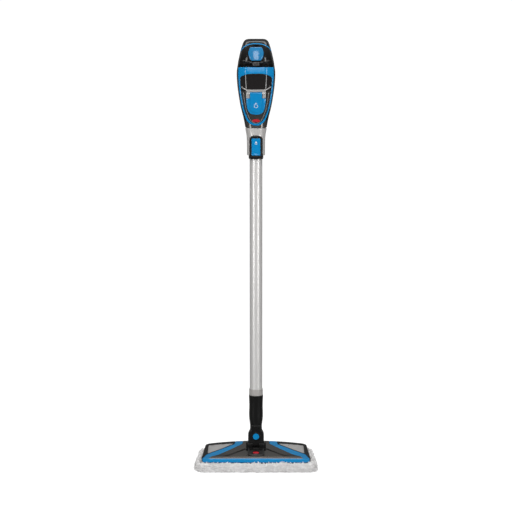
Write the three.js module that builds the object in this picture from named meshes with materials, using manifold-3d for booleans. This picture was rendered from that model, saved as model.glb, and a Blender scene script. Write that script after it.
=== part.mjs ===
// Slim upright steam mop. A handset with a water tank, pump and boiler lifts off a long wand. The wand
// plugs into a neck that swivels on a two-axis knuckle, and the knuckle stands on a flat foot that drops
// into a fringed mop pad. Millimetres, +Z up, the front faces -Y. The origin is on the floor, under the
// wand's axis.
import * as THREE from "three";
import { mergeVertices } from "three/addons/utils/BufferGeometryUtils.js";
import Module from "manifold-3d";

const wasm = await Module();
wasm.setup();

// ---------- Driving dimensions ----------
const GAP = 0.3; // between pieces that touch
const RUN = 0.1; // radial clearance of a pin in its bore
const FAR = 400; // longer than any piece, for cutting tools
const MERGE = 1e-4;

const PAD = { front: -100, back: 86, halfFront: 165, halfBack: 155, corner: 26, pile: 13, top: 24 };
const FOOT = { front: -93, back: 74, halfFront: 147, halfBack: 139, corner: 15 };
const FOOT_BASE = { bottom: 16, top: 26, wall: 2.5 };
const FOOT_SKIN = 3; // thickness of the foot's top shell
const FOOT_TOP = { front: 35, back: 48, droop: 9 };

const PITCH_Z = 55; // height of the fore-and-aft hinge
const ROLL_Z = 80; // height of the side-to-side hinge
const PIN_R = 4;
const KNUCKLE = { radius: 21.5, halfDepth: 13, lug: 9, barrel: 8, skirt: 12.5 };

const NECK_TOP_Z = 185; // joint between the neck and the wand
const COLLAR_BOTTOM_Z = 836;
const HANDSET_Z = 908.8; // underside of the handset
const TUBE = { radius: 17, wall: 1.2, bottom: 191.3, top: 848 };
const SPIGOT_R = 14;
const SOCKET_R = SPIGOT_R + 0.4;
const PIPE = { radius: 4, bore: 2.5, bottom: 112, top: 855 };

const WALL = 2.5; // moulded housing wall
const BULKHEAD = { front: -11, back: -8.3 };

// ---------- Finishes ----------
const finish = (color, roughness, metalness = 0, opacity = 1) =>
  new THREE.MeshStandardMaterial({ color, roughness, metalness, opacity, transparent: opacity < 1 });
const BLACK = finish(0x141415, 0.28);
const SATIN_BLACK = finish(0x1b1b1c, 0.55);
const GUNMETAL = finish(0x45423f, 0.3, 0.3);
const BLUE = finish(0x0583c4, 0.3);
const SILVER = finish(0xd2d0cc, 0.4, 0.3);
const WARM_GREY = finish(0xa6a19d, 0.45, 0.2);
const SMOKE = finish(0x4a4745, 0.1, 0, 0.5);
const FROSTED = finish(0xb5b2ae, 0.2, 0, 0.7);
const WHITE_PILE = finish(0xeeedeb, 0.95);
const CLOTH = finish(0xb9b7b4, 0.9);
const STEEL = finish(0xb8babd, 0.25, 1);
const ALUMINIUM = finish(0xa9abad, 0.4, 0.9);
const SILICONE = finish(0xd8d6cf, 0.6);
const RUBBER = finish(0x222222, 0.8);
const BOARD = finish(0x1d6b3a, 0.6);

// ---------- Solids: join, cut and slice ----------
function solid(geometry) {
  const bare = geometry.index ? geometry.toNonIndexed() : geometry.clone();
  bare.deleteAttribute("normal");
  bare.deleteAttribute("uv");
  const merged = mergeVertices(bare, MERGE);
  const vertProperties = merged.attributes.position.array;
  const corners = merged.index.array;
  const build = (indices) => {
    const triVerts = new Uint32Array(indices);
    return new wasm.Manifold(new wasm.Mesh({ numProp: 3, vertProperties, triVerts }));
  };
  const made = build(corners);
  if (made.volume() >= 0) return made;
  const turned = corners.slice();
  for (let i = 0; i < turned.length; i += 3) {
    [turned[i + 1], turned[i + 2]] = [turned[i + 2], turned[i + 1]];
  }
  return build(turned);
}

const largest = (parts) => parts.sort((a, b) => b.volume() - a.volume())[0];
const join = (...all) => all.reduce((a, b) => a.add(b));
const cut = (body, ...tools) => tools.reduce((a, b) => a.subtract(b), body);
const common = (...all) => all.reduce((a, b) => a.intersect(b));

function piece(name, made, material) {
  const { vertProperties, triVerts, numProp } = made.getMesh();
  const position = new Float32Array((vertProperties.length / numProp) * 3);
  for (let i = 0; i < position.length / 3; i++) {
    position.set(vertProperties.subarray(i * numProp, i * numProp + 3), i * 3);
  }
  const geometry = new THREE.BufferGeometry();
  geometry.setAttribute("position", new THREE.BufferAttribute(position, 3));
  geometry.setIndex(new THREE.BufferAttribute(triVerts, 1));
  const flat = geometry.toNonIndexed();
  flat.computeVertexNormals();
  const mesh = new THREE.Mesh(flat, material);
  mesh.name = name;
  return mesh;
}

// ---------- Shapes ----------
// A block between two corners.
function block(x0, x1, y0, y1, z0, z1) {
  const box = new THREE.BoxGeometry(x1 - x0, y1 - y0, z1 - z0);
  return solid(box.translate((x0 + x1) / 2, (y0 + y1) / 2, (z0 + z1) / 2));
}

// A round bar along one axis, from a to b, centred on the two other coordinates in axis order.
function bar(axis, radius, a, b, centre = [0, 0], sides = 20) {
  const round = new THREE.CylinderGeometry(radius, radius, b - a, sides).translate(0, (a + b) / 2, 0);
  if (axis === "x") round.rotateZ(-Math.PI / 2).translate(0, centre[0], centre[1]);
  if (axis === "y") round.translate(centre[0], 0, centre[1]);
  if (axis === "z") round.rotateX(Math.PI / 2).translate(centre[0], centre[1], 0);
  return solid(round);
}

// A turned piece about Z from a closed profile of [radius, z] points.
function turned(profile, sides = 24) {
  const points = [...profile, profile[0]].map(([r, z]) => new THREE.Vector2(r, z));
  return solid(new THREE.LatheGeometry(points, sides).rotateX(Math.PI / 2));
}

const shapeOf = (points) => new THREE.Shape(points.map(([u, v]) => new THREE.Vector2(u, v)));
const asShape = (outline) => (Array.isArray(outline) ? shapeOf(outline) : outline);
const extruded = (outline, depth) =>
  new THREE.ExtrudeGeometry(asShape(outline), { depth, bevelEnabled: false, curveSegments: 5, steps: 1 });

// An outline drawn in plan (x, y), raised from z0 to z1.
const planPrism = (outline, z0, z1) => solid(extruded(outline, z1 - z0).translate(0, 0, z0));
// An outline drawn from the front (x, z), running from y0 to y1.
const frontPrism = (outline, y0, y1) =>
  solid(extruded(outline, y1 - y0).rotateX(Math.PI / 2).translate(0, y1, 0));
// An outline drawn from the side (y, z), running from x0 to x1.
function sidePrism(outline, x0, x1) {
  const turn = new THREE.Matrix4().makeBasis(
    new THREE.Vector3(0, 1, 0),
    new THREE.Vector3(0, 0, 1),
    new THREE.Vector3(1, 0, 0),
  );
  return solid(extruded(outline, x1 - x0).applyMatrix4(turn).translate(x0, 0, 0));
}

// A polygon moved outwards by d on every edge; its points run anticlockwise.
function grown(points, d) {
  const n = points.length;
  const edges = points.map(([x0, y0], i) => {
    const [x1, y1] = points[(i + 1) % n];
    const length = Math.hypot(x1 - x0, y1 - y0);
    const [nx, ny] = [(y1 - y0) / length, -(x1 - x0) / length];
    return { nx, ny, c: nx * x0 + ny * y0 + d };
  });
  return points.map((_, i) => {
    const [a, b] = [edges[(i + n - 1) % n], edges[i]];
    const det = a.nx * b.ny - a.ny * b.nx;
    return [(a.c * b.ny - b.c * a.ny) / det, (a.nx * b.c - b.nx * a.c) / det];
  });
}

// A rectangle centred on x = 0, from one height to another.
const rectangle = (half, low, high) => [
  [-half, low],
  [half, low],
  [half, high],
  [-half, high],
];
const mirrored = (points) => points.map(([x, y]) => [-x, y]).reverse();
// The whole outline from its right half, whose points run upwards.
function bothSides(half) {
  const offCentre = half.filter(([x]) => x > 0);
  return [...half, ...mirrored(offCentre)];
}

// A polygon with its corners rounded.
function rounded(points, radius) {
  const shape = new THREE.Shape();
  const n = points.length;
  points.forEach((corner, i) => {
    const at = new THREE.Vector2(...corner);
    const before = new THREE.Vector2(...points[(i + n - 1) % n]).sub(at).setLength(radius).add(at);
    const after = new THREE.Vector2(...points[(i + 1) % n]).sub(at).setLength(radius).add(at);
    if (i === 0) shape.moveTo(before.x, before.y);
    else shape.lineTo(before.x, before.y);
    shape.quadraticCurveTo(at.x, at.y, after.x, after.y);
  });
  shape.closePath();
  return shape;
}

// The plan of the pad or the foot: wider at the front, with round corners, grown outwards by d.
const trapezoid = ({ front, back, halfFront, halfBack, corner }, d = 0) =>
  rounded(
    [
      [-halfFront - d, front - d],
      [halfFront + d, front - d],
      [halfBack + d, back + d],
      [-halfBack - d, back + d],
    ],
    corner + d,
  );

// A closed skin over a row of rings that all have the same number of points.
function loft(rings) {
  const n = rings[0].length;
  const vertices = rings.flat().flatMap((p) => [p.x, p.y, p.z]);
  const index = [];
  for (let k = 0; k + 1 < rings.length; k++) {
    for (let i = 0; i < n; i++) {
      const [a, b] = [k * n + i, k * n + ((i + 1) % n)];
      index.push(a, b, b + n, a, b + n, a + n);
    }
  }
  const centre = (ring) => ring.reduce((sum, p) => sum.clone().add(p), new THREE.Vector3()).divideScalar(n);
  for (const [ring, start, first] of [
    [rings[0], 0, true],
    [rings.at(-1), (rings.length - 1) * n, false],
  ]) {
    const hub = vertices.length / 3;
    const c = centre(ring);
    vertices.push(c.x, c.y, c.z);
    for (let i = 0; i < n; i++) {
      const [a, b] = [start + i, start + ((i + 1) % n)];
      index.push(...(first ? [hub, b, a] : [hub, a, b]));
    }
  }
  const geometry = new THREE.BufferGeometry();
  geometry.setAttribute("position", new THREE.Float32BufferAttribute(vertices, 3));
  geometry.setIndex(index);
  return solid(geometry);
}

// Points of a softened oval: a superellipse with half axes a and b.
function oval(a, b, count, power = 2.6) {
  return Array.from({ length: count }, (_, i) => {
    const t = (2 * Math.PI * i) / count;
    const [c, s] = [Math.cos(t), Math.sin(t)];
    const soften = (value) => Math.sign(value) * Math.abs(value) ** (2 / power);
    return [a * soften(c), b * soften(s)];
  });
}

// A column of ovals from stations of height, half width and half depth.
function stack(stations, count, power) {
  const ring = ([z, a, b]) => oval(a, b, count, power).map(([x, y]) => new THREE.Vector3(x, y, z));
  return loft(stations.map(ring));
}

// A hose or wire along a curve through points.
function hose(points, radius, bore, steps) {
  const ring = new THREE.Shape().absarc(0, 0, radius, 0, 2 * Math.PI);
  ring.holes.push(new THREE.Path().absarc(0, 0, bore, 0, 2 * Math.PI));
  const path = new THREE.CatmullRomCurve3(points.map((p) => new THREE.Vector3(...p)));
  return solid(new THREE.ExtrudeGeometry(ring, { steps, curveSegments: 4, extrudePath: path }));
}

// A coil spring along Y.
class Helix extends THREE.Curve {
  constructor(radius, from, to, turns, centre) {
    super();
    Object.assign(this, { radius, from, to, turns, centre });
  }
  getPoint(t) {
    const angle = 2 * Math.PI * this.turns * t;
    const [x, z] = this.centre;
    return new THREE.Vector3(
      x + this.radius * Math.cos(angle),
      this.from + (this.to - this.from) * t,
      z + this.radius * Math.sin(angle),
    );
  }
}
function spring(radius, wire, from, to, turns, centre) {
  const section = new THREE.Shape().absarc(0, 0, wire, 0, 2 * Math.PI);
  const path = new Helix(radius, from + wire, to - wire, turns, centre);
  const options = { steps: turns * 8, curveSegments: 2, extrudePath: path };
  return solid(new THREE.ExtrudeGeometry(section, options));
}

function group(name, z, ...children) {
  const made = new THREE.Group();
  made.name = name;
  made.position.z = z;
  made.add(...children);
  return made;
}

// ---------- The mop pad: pile underneath, a backing cloth, and a fringed rim round the foot ----------
function pad() {
  const pocket = planPrism(trapezoid(FOOT, 2.5), 0, FAR);
  const rimOutline = {
    ...PAD,
    front: PAD.front + 3,
    halfFront: PAD.halfFront - 3,
    halfBack: PAD.halfBack - 3,
  };
  return group(
    "pad",
    0,
    piece("pad_pile", planPrism(trapezoid(PAD), 0, PAD.pile), WHITE_PILE),
    piece("pad_rim", cut(planPrism(trapezoid(rimOutline), PAD.pile + GAP, PAD.top), pocket), WHITE_PILE),
    piece("pad_cloth", planPrism(trapezoid(FOOT, 2), PAD.pile + GAP, PAD.pile + GAP + 1), CLOTH),
  );
}

// ---------- The foot ----------
// Height of the foot's top: it climbs to the back and droops to the sides there.
function footTop(x, y) {
  const t = (y - FOOT.front) / (FOOT.back - FOOT.front);
  const climb = (FOOT_TOP.back - FOOT_TOP.front) * t;
  return FOOT_TOP.front + climb - FOOT_TOP.droop * t * (x / FOOT.halfBack) ** 2;
}

// Everything under the foot's top lowered by depth, down to floor.
function underTop(depth, floor) {
  const [nx, ny] = [14, 5];
  const rings = [];
  for (let i = 0; i <= nx; i++) {
    const x = -FOOT.halfFront - 10 + ((2 * FOOT.halfFront + 20) * i) / nx;
    const ring = [];
    for (let j = 0; j <= ny; j++) {
      const y = FOOT.front - 8 + ((FOOT.back - FOOT.front + 16) * j) / ny;
      ring.push(new THREE.Vector3(x, y, footTop(x, y) - depth));
    }
    ring.push(new THREE.Vector3(x, FOOT.back + 8, floor), new THREE.Vector3(x, FOOT.front - 8, floor));
    rings.push(ring);
  }
  return loft(rings);
}

// Plan outlines on the foot, anticlockwise.
const TRIM_ARM = [
  [-152, -97],
  [-126, -84],
  [-37, 48],
  [-36, 80],
  [-56, 80],
  [-60, 46],
  [-134, -42],
  [-143.5, -86],
];
const TRIM_BAND = [
  [-142, -97],
  [142, -97],
  [134, -84],
  [-134, -84],
];
const WINDOW = [
  [-131, -31],
  [-66, 46],
  [-62, 62],
  [-131, 62],
];
const VALLEY = [
  [-93, -76],
  [93, -76],
  [30, 4],
  [-30, 4],
];
const POCKET = { half: 26.4, front: -13.8, back: 62.4 };
const TONGUE = { half: 22, front: -61, back: -14.4, corner: 10 };
const VALLEY_DEPTH = 3.5;

function foot() {
  const split = FOOT_BASE.top + GAP;
  const shell = cut(
    common(planPrism(trapezoid(FOOT), split, FAR), underTop(0, split)),
    common(planPrism(trapezoid(FOOT, -FOOT_SKIN), 0, FAR), underTop(FOOT_SKIN, 0)),
  );
  const slab = (top, thickness) => cut(underTop(top, split), underTop(top + thickness, split - 1));
  const tall = (outline) => planPrism(outline, 0, FAR);
  const arms = [TRIM_ARM, mirrored(TRIM_ARM)];
  const trim = common(shell, join(...arms.map(tall), tall(TRIM_BAND)));
  const rest = cut(shell, ...arms.map((a) => tall(grown(a, GAP))), tall(grown(TRIM_BAND, GAP)));
  const parts = rest.decompose();
  const middleX = (s) => (s.boundingBox().min[0] + s.boundingBox().max[0]) / 2;
  const largestNear = (test) => largest(parts.filter((s) => test(middleX(s))));

  const pocket = block(-POCKET.half, POCKET.half, POCKET.front, POCKET.back, 0, FAR);
  const tonguePlan = {
    front: TONGUE.front,
    back: POCKET.front + 12,
    halfFront: TONGUE.half,
    halfBack: TONGUE.half,
    corner: TONGUE.corner,
  };
  const beforePocket = block(-30, 30, -FAR, POCKET.front + 1, 0, FAR);
  const tongueHole = common(tall(trapezoid(tonguePlan, GAP)), beforePocket);
  const fascia = cut(largestNear((x) => Math.abs(x) < 20), tall(VALLEY), pocket, tongueHole);
  const panel = cut(common(slab(VALLEY_DEPTH, 2.5), tall(grown(VALLEY, 3))), pocket, tongueHole);

  const tongueSide = [
    [TONGUE.front, 34],
    [TONGUE.back, 34],
    [TONGUE.back, 49.5],
    [TONGUE.front + 8, 43],
    [TONGUE.front, 40],
  ];
  const hubCover = common(
    sidePrism(tongueSide, -TONGUE.half, TONGUE.half),
    tall(trapezoid(tonguePlan)),
  );
  const ear = (x0, x1) =>
    join(bar("x", KNUCKLE.barrel, x0, x1, [0, PITCH_Z]), block(x0, x1, -8, 8, split + 1, PITCH_Z));
  const bracket = cut(
    join(block(-26, 26, -13.4, 62, split, split + 3), ear(-22.5, -9.4), ear(9.4, 22.5)),
    bar("x", PIN_R + RUN, -30, 30, [0, PITCH_Z]),
  );
  const pin = cut(bar("x", PIN_R, -22.3, 22.3, [0, PITCH_Z]), bar("x", 2, -30, 30, [0, PITCH_Z], 12));

  const baseOutline = trapezoid(FOOT, -3);
  const screws = [
    [-118, -20],
    [118, -20],
  ];
  const vents = [-90, -54, -18, 18, 54, 90];
  const manifoldOuter = block(-104, 104, -9, 9, 18.7, 25.4);
  const base = cut(
    planPrism(baseOutline, FOOT_BASE.bottom, FOOT_BASE.top),
    cut(
      planPrism(trapezoid(FOOT, -3 - FOOT_BASE.wall), FOOT_BASE.bottom + 2.4, FAR),
      ...screws.map((c) => bar("z", 5, 0, 100, c, 12)),
    ),
    ...vents.map((x) => bar("z", 2, 0, 30, [x, 0], 8)),
    ...screws.map((c) => bar("z", 2.7, 0, 24.6, c, 12)),
  );
  const manifold = cut(manifoldOuter, block(-102, 102, -7, 7, 18, 23.4), bar("z", 2, 20, 30, [0, 0], 12));

  const made = [
    piece("foot_base", base, SATIN_BLACK),
    piece("foot_fascia", fascia, GUNMETAL),
    piece("foot_centre_panel", panel, GUNMETAL),
    piece("foot_blue_trim", trim, BLUE),
    piece("foot_hub_cover", hubCover, BLACK),
    piece("pivot_bracket", bracket, SATIN_BLACK),
    piece("pitch_pin", pin, STEEL),
    piece("steam_manifold", manifold, SILICONE),
    piece("hook_strip", block(-124, 124, 14, 48, 14.6, FOOT_BASE.bottom - GAP), CLOTH),
  ];
  for (const [side, sign] of [
    ["left", -1],
    ["right", 1],
  ]) {
    const outline = sign < 0 ? WINDOW : mirrored(WINDOW);
    const end = largestNear((x) => sign * x > 60);
    made.push(piece(`foot_end_${side}`, cut(end, tall(outline)), SATIN_BLACK));
    const window = common(slab(FOOT_SKIN + GAP, 2), tall(grown(outline, 2)));
    made.push(piece(`foot_window_${side}`, window, FROSTED));
  }
  screws.forEach((c, i) => made.push(piece(`base_screw_${i + 1}`, bar("z", 2.5, 16.4, 24, c, 8), STEEL)));
  return group("foot", 0, ...made);
}

// ---------- The knuckle: pitches on the foot, and carries the roll hinge of the neck ----------
const ROLL_RISE = ROLL_Z - PITCH_Z;
function knuckle() {
  const { radius, halfDepth, lug, barrel, skirt } = KNUCKLE;
  const head = join(
    bar("y", radius, -halfDepth, halfDepth, [0, ROLL_RISE], 28),
    block(-radius, radius, -halfDepth, halfDepth, skirt, ROLL_RISE),
  );
  const body = cut(
    join(
      cut(head, bar("x", barrel + 2, -30, 30)),
      block(-lug, lug, -barrel, barrel, 0, skirt + 2),
      bar("x", barrel, -lug, lug),
    ),
    bar("y", PIN_R + RUN, -30, 30, [0, ROLL_RISE]),
    bar("x", PIN_R + RUN, -30, 30),
  );
  const pin = cut(bar("y", PIN_R, -18.2, 18.2, [0, ROLL_RISE]), bar("y", 2, -30, 30, [0, ROLL_RISE], 12));
  return group("knuckle", PITCH_Z, piece("swivel_knuckle", body, BLACK), piece("roll_pin", pin, STEEL));
}

// ---------- The neck: a fork round the knuckle, and the socket for the wand ----------
const NECK_TOP = NECK_TOP_Z - ROLL_Z;
const NECK_STATIONS = [
  // height, half width, half depth
  [24.5, 13.8, 17.6],
  [31, 14.8, 18.2],
  [39, 16.6, 18.4],
  [48, 17.6, 18.4],
  [60, 17.9, 18],
  [80, 17.4, 17.6],
  [NECK_TOP, 18.4, 18.4],
];
const SNAP_Z = 75;
function neck() {
  const body = stack(NECK_STATIONS, 24, 2.1);
  const ear = (y0, y1) => join(bar("y", 13.5, y0, y1, [0, 0], 24), block(-11, 11, y0, y1, 0, 30));
  const whole = cut(
    join(
      body,
      ear(-18.5, -KNUCKLE.halfDepth - GAP),
      ear(KNUCKLE.halfDepth + GAP, 18.5),
      bar("y", 12.6, -20.6, -18, [0, 0], 24),
    ),
    bar("y", PIN_R + RUN, -18.5, 30),
    bar("y", 8.8, -30, -18.5, [0, 0], 24),
    bar("z", SOCKET_R, 45, FAR, [0, 0], 24),
    bar("z", 5, 20, 50, [0, 0], 12),
    bar("y", 4.3, 0, 30, [0, SNAP_Z], 16),
  );
  const front = common(whole, block(-50, 50, -50, -GAP / 2, -50, FAR));
  const back = common(whole, block(-50, 50, GAP / 2, 50, -50, FAR));
  return group(
    "neck",
    ROLL_Z,
    piece("neck_front_shell", front, BLACK),
    piece("neck_rear_shell", back, BLACK),
    piece("roll_pin_cap", bar("y", 8.5, -21.2, -18.8, [0, 0], 28), BLUE),
  );
}

// ---------- The wand ----------
const SNAP_WAND_Z = ROLL_Z + SNAP_Z - NECK_TOP_Z;
const COLLAR_STATIONS = [
  // height, half width, half depth
  [COLLAR_BOTTOM_Z, 22, 21.5],
  [880, 22.2, 22],
  [890, 23.5, 22.6],
  [899, 26.2, 23.8],
  [HANDSET_Z - 0.8, 28.2, 25],
];
const BUTTON = { half: 11.7, bottom: 836, top: 881, front: -27.2, back: -21.2 };
const ESCUTCHEON = { half: 17.8, bottom: 826.3, top: 889, front: -25, back: -19.5 };

// The tall outline with a round top that the escutcheon has.
function archOutline(half, bottom, top) {
  const shape = new THREE.Shape();
  shape.moveTo(-half, bottom);
  shape.lineTo(half, bottom);
  shape.lineTo(half, top - half * 0.75);
  shape.quadraticCurveTo(half, top, half * 0.35, top);
  shape.lineTo(-half * 0.35, top);
  shape.quadraticCurveTo(-half, top, -half, top - half * 0.75);
  return shape;
}

function wand() {
  const tube = turned([
    [TUBE.radius, TUBE.bottom],
    [TUBE.radius, TUBE.top],
    [TUBE.radius - TUBE.wall, TUBE.top],
    [TUBE.radius - TUBE.wall, TUBE.bottom],
  ]);
  const fitting = cut(
    turned([
      [SPIGOT_R, NECK_TOP_Z - 59],
      [SPIGOT_R, NECK_TOP_Z + GAP],
      [18.5, NECK_TOP_Z + GAP],
      [18.5, NECK_TOP_Z + 23.7],
      [17.2, NECK_TOP_Z + 23.7],
      [17.2, NECK_TOP_Z + 6],
      [11.5, NECK_TOP_Z + 6],
      [11.5, NECK_TOP_Z - 59],
    ]),
    block(-5.4, 5.4, 9, 20, NECK_TOP_Z - 60, NECK_TOP_Z + SNAP_WAND_Z + 6),
  );
  const pipe = turned(
    [
      [PIPE.radius, PIPE.bottom],
      [PIPE.radius, PIPE.top],
      [PIPE.bore, PIPE.top],
      [PIPE.bore, PIPE.bottom],
    ],
    12,
  );
  const recess = archOutline(ESCUTCHEON.half + GAP, 800, ESCUTCHEON.top + GAP);
  const plate = archOutline(ESCUTCHEON.half, ESCUTCHEON.bottom, ESCUTCHEON.top);
  const tubeBore = bar("z", TUBE.radius + 0.3, 800, TUBE.top + GAP, [0, 0], 24);
  const window = [
    [-BUTTON.half - GAP, BUTTON.bottom - GAP],
    [BUTTON.half + GAP, BUTTON.bottom - GAP],
    [BUTTON.half + GAP, BUTTON.top + GAP],
    [-BUTTON.half - GAP, BUTTON.top + GAP],
  ];
  const collar = cut(
    stack(COLLAR_STATIONS, 28, 2.2),
    tubeBore,
    bar("z", 4.4, 840, 870, [0, 0], 12),
    bar("z", SOCKET_R, 852, FAR * 3, [0, 0], 24),
    frontPrism(recess, -40, ESCUTCHEON.back + GAP),
    frontPrism(window, -40, -17.9),
  );
  const escutcheon = cut(
    join(
      frontPrism(plate, ESCUTCHEON.front, ESCUTCHEON.back),
      bar("z", 19.4, ESCUTCHEON.bottom, COLLAR_BOTTOM_Z - GAP, [0, 0], 24),
      block(-17, 17, ESCUTCHEON.back - 0.5, -8, ESCUTCHEON.bottom, COLLAR_BOTTOM_Z - GAP),
    ),
    bar("z", TUBE.radius + 0.3, 800, TUBE.top, [0, 0], 24),
    frontPrism(window, -40, -17.9),
  );
  return group(
    "wand",
    0,
    piece("wand_tube", tube, SILVER),
    piece("wand_end_fitting", fitting, WARM_GREY),
    piece("wand_steam_pipe", pipe, SILICONE),
    piece("wand_collar", collar, SILVER),
    piece("button_escutcheon", escutcheon, SATIN_BLACK),
    piece("release_spring", spring(4, 0.4, -20.9, -18.2, 1.75, [0, 860]), STEEL),
  );
}

function snapButton() {
  const button = join(bar("y", 4.8, 11.4, 13.2), bar("y", 3.9, 13, 20.4));
  return group("snap_button", NECK_TOP_Z + SNAP_WAND_Z, piece("neck_snap_button", button, SATIN_BLACK));
}

function releaseButton() {
  const outline = rounded(
    [
      [-BUTTON.half, BUTTON.bottom],
      [BUTTON.half, BUTTON.bottom],
      [BUTTON.half, BUTTON.top],
      [-BUTTON.half, BUTTON.top],
    ],
    1.5,
  );
  const button = frontPrism(outline, BUTTON.front, BUTTON.back);
  return group("release_button", 0, piece("wand_release_button", button, BLUE));
}

// ---------- The handset ----------
const BODY_STATIONS = [
  // height, half width, front, back
  [0, 28.5, -25, 25],
  [26, 33, -28, 29],
  [58, 40.6, -32, 34],
  [90, 46, -35, 37],
  [150, 51.3, -38, 38],
  [171, 48.7, -40, 38],
  [182, 46.9, -44, 37],
  [200, 43, -40, 35],
  [215, 39.2, -33, 32],
  [230, 34, -20, 28],
  [237, 29, -10, 22],
  [240, 22, -4, 14],
];
const HANDLE_STATIONS = [
  // y, z, half width, half thickness
  [5, 214, 34, 15],
  [35, 219, 30, 14.5],
  [66, 208, 22, 14],
  [86, 182, 17, 14],
  [92, 145, 16, 14],
  [86, 108, 16, 14],
  [68, 74, 16.5, 14],
  [40, 50, 18, 14],
  [20, 38, 20, 14],
];
// The tank's outline and its window, from the front: the right half, upwards.
const TANK_OUTLINE = bothSides([
  [0, 6.5],
  [13, 9.5],
  [23.5, 20],
  [31, 38],
  [37.5, 61],
  [43.5, 98],
  [46.6, 136],
  [46.6, 165],
]);
const TANK_WINDOW = bothSides([
  [0, 12.5],
  [11, 15],
  [20, 24],
  [27.4, 40.5],
  [33.6, 62],
  [39.4, 98],
  [42, 128],
  [42, 136.5],
  [33, 144],
  [20, 147.7],
]);
const TANK_STATIONS = [
  // height, half width, y at the frame, y of the flat face, half width of the face
  [4, 26, -26, -28, 3],
  [20, 30, -28, -33, 9],
  [38, 36, -30.5, -38, 14],
  [60, 41, -33, -43, 18],
  [90, 45, -35, -47, 21],
  [120, 48, -36.5, -50, 23],
  [148, 49, -38, -51, 24],
  [167, 49, -38, -50, 24],
];
// The nose cover's outline from the front.
const NOSE = bothSides([
  [60, 170],
  [60, 178],
  [50, 190],
  [42, 203],
  [36, 212],
  [24, 221.5],
  [10, 225],
]);
const LENS = bothSides([
  [16, 184.5],
  [19.6, 193],
  [20.2, 200],
  [18.4, 209],
  [14, 217.6],
]);
const BOSSES = [
  [26, 58],
  [66, 208],
  [84, 104],
]; // y and z of the screw bosses
const VALVE = { x: -12, z: 24 };

// The casing's body, grown outwards by d.
function bodyLoft(d) {
  const last = BODY_STATIONS.length - 1;
  return loft(
    BODY_STATIONS.map(([z, half, front, back], i) => {
      const rise = i === 0 ? -d : i === last ? d : 0;
      const ring = oval(half + d, (back - front) / 2 + d, 24);
      return ring.map(([x, y]) => new THREE.Vector3(x, y + (front + back) / 2, z + rise));
    }),
  );
}

// The looped handle, grown outwards by d.
function handleLoft(d) {
  const centres = HANDLE_STATIONS.map(([y, z]) => new THREE.Vector2(y, z));
  return loft(
    HANDLE_STATIONS.map(([y, z, half, thick], i) => {
      const next = centres[Math.min(i + 1, centres.length - 1)];
      const along = next.clone().sub(centres[Math.max(i - 1, 0)]).normalize();
      const ring = oval(half + d, thick + d, 14);
      return ring.map(([x, out]) => new THREE.Vector3(x, y - along.y * out, z + along.x * out));
    }),
  );
}

// The tank's bulging front, grown outwards by d.
function tankLoft(d) {
  return loft(
    TANK_STATIONS.map(([z, half, frame, face, flat]) => {
      const shoulder = [flat + (half - flat) * 0.5, face + (frame - face) * 0.4];
      const right = [
        [half, BULKHEAD.front - 0.6],
        [half, frame - d],
        [shoulder[0], shoulder[1] - d],
        [flat, face - d],
      ];
      const ring = [...right, ...right.map(([x, y]) => [-x, y]).reverse()];
      return ring.map(([x, y]) => new THREE.Vector3(x, y, z));
    }),
  );
}

const below = (y, z0 = -60, z1 = FAR) => block(-FAR, FAR, -FAR, y, z0, z1);
const behind = (y, z0 = -60, z1 = FAR) => block(-FAR, FAR, y, FAR, z0, z1);

function housing() {
  const outer = join(bodyLoft(0), handleLoft(0));
  const hollow = join(
    common(bodyLoft(-WALL), join(behind(BULKHEAD.front - GAP), block(-FAR, FAR, -FAR, FAR, 178, FAR))),
    handleLoft(-WALL),
  );
  const bosses = join(...BOSSES.map((c) => bar("x", 4.5, -FAR, FAR, c, 12)));
  const latchNotch = block(-9.4, 9.4, -FAR, -33.4, 160, 181.8);
  const triggerSlot = block(-9, 9, 55, 84, 147.8, 182.5);
  const glandHole = solid(new THREE.CylinderGeometry(5.3, 5.3, 60, 16).applyMatrix4(GLAND_PLACE));
  const shell = cut(
    join(cut(outer, hollow), common(outer, bosses, behind(20))),
    frontPrism(grown(TANK_OUTLINE, 0.4), -FAR, BULKHEAD.front - GAP),
    block(-43, 43, -FAR, -16, 160, 173.5),
    latchNotch,
    triggerSlot,
    glandHole,
    bar("z", SPIGOT_R + 0.3, -60, 10, [0, 0], 24),
    ...BOSSES.map((c) => bar("x", 2.2, -26, 14, c, 10)),
    ...BOSSES.map((c, i) => bar("x", 3.6, -FAR, SCREW_HEADS[i], c, 12)),
  );
  const noseZone = (d, y) => common(frontPrism(grown(NOSE, d), -FAR, y), below(y, 160));
  const nose = cut(
    common(shell, noseZone(0, 2)),
    frontPrism(rounded(rectangle(7.8, 219.6, 223.2), 1.7), -FAR, 0),
    frontPrism(grown(LENS, GAP), -FAR, 0),
  );
  const rim = cut(common(shell, noseZone(2.4, 2)), noseZone(GAP, 3));
  const accent = common(rim, block(-FAR, FAR, -FAR, 2, 186, FAR));
  const bezelZone = (d) => block(-FAR, FAR, -FAR, -16 + d, -10, 20 + d);
  const bezel = common(shell, bezelZone(0));
  const rest = cut(shell, noseZone(2.4 + GAP, 2 + GAP), bezelZone(GAP));
  const left = common(rest, block(-FAR, -GAP / 2, -FAR, FAR, -60, FAR));
  const right = common(rest, block(GAP / 2, FAR, -FAR, FAR, -60, FAR));
  const main = (s) => largest(s.decompose());
  return [
    piece("housing_left", main(left), BLACK),
    piece("housing_right", main(right), BLACK),
    piece("nose_cover", main(nose), BLACK),
    piece("nose_blue_trim", main(accent), BLUE),
    piece("lower_bezel", main(bezel), GUNMETAL),
  ];
}

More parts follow.
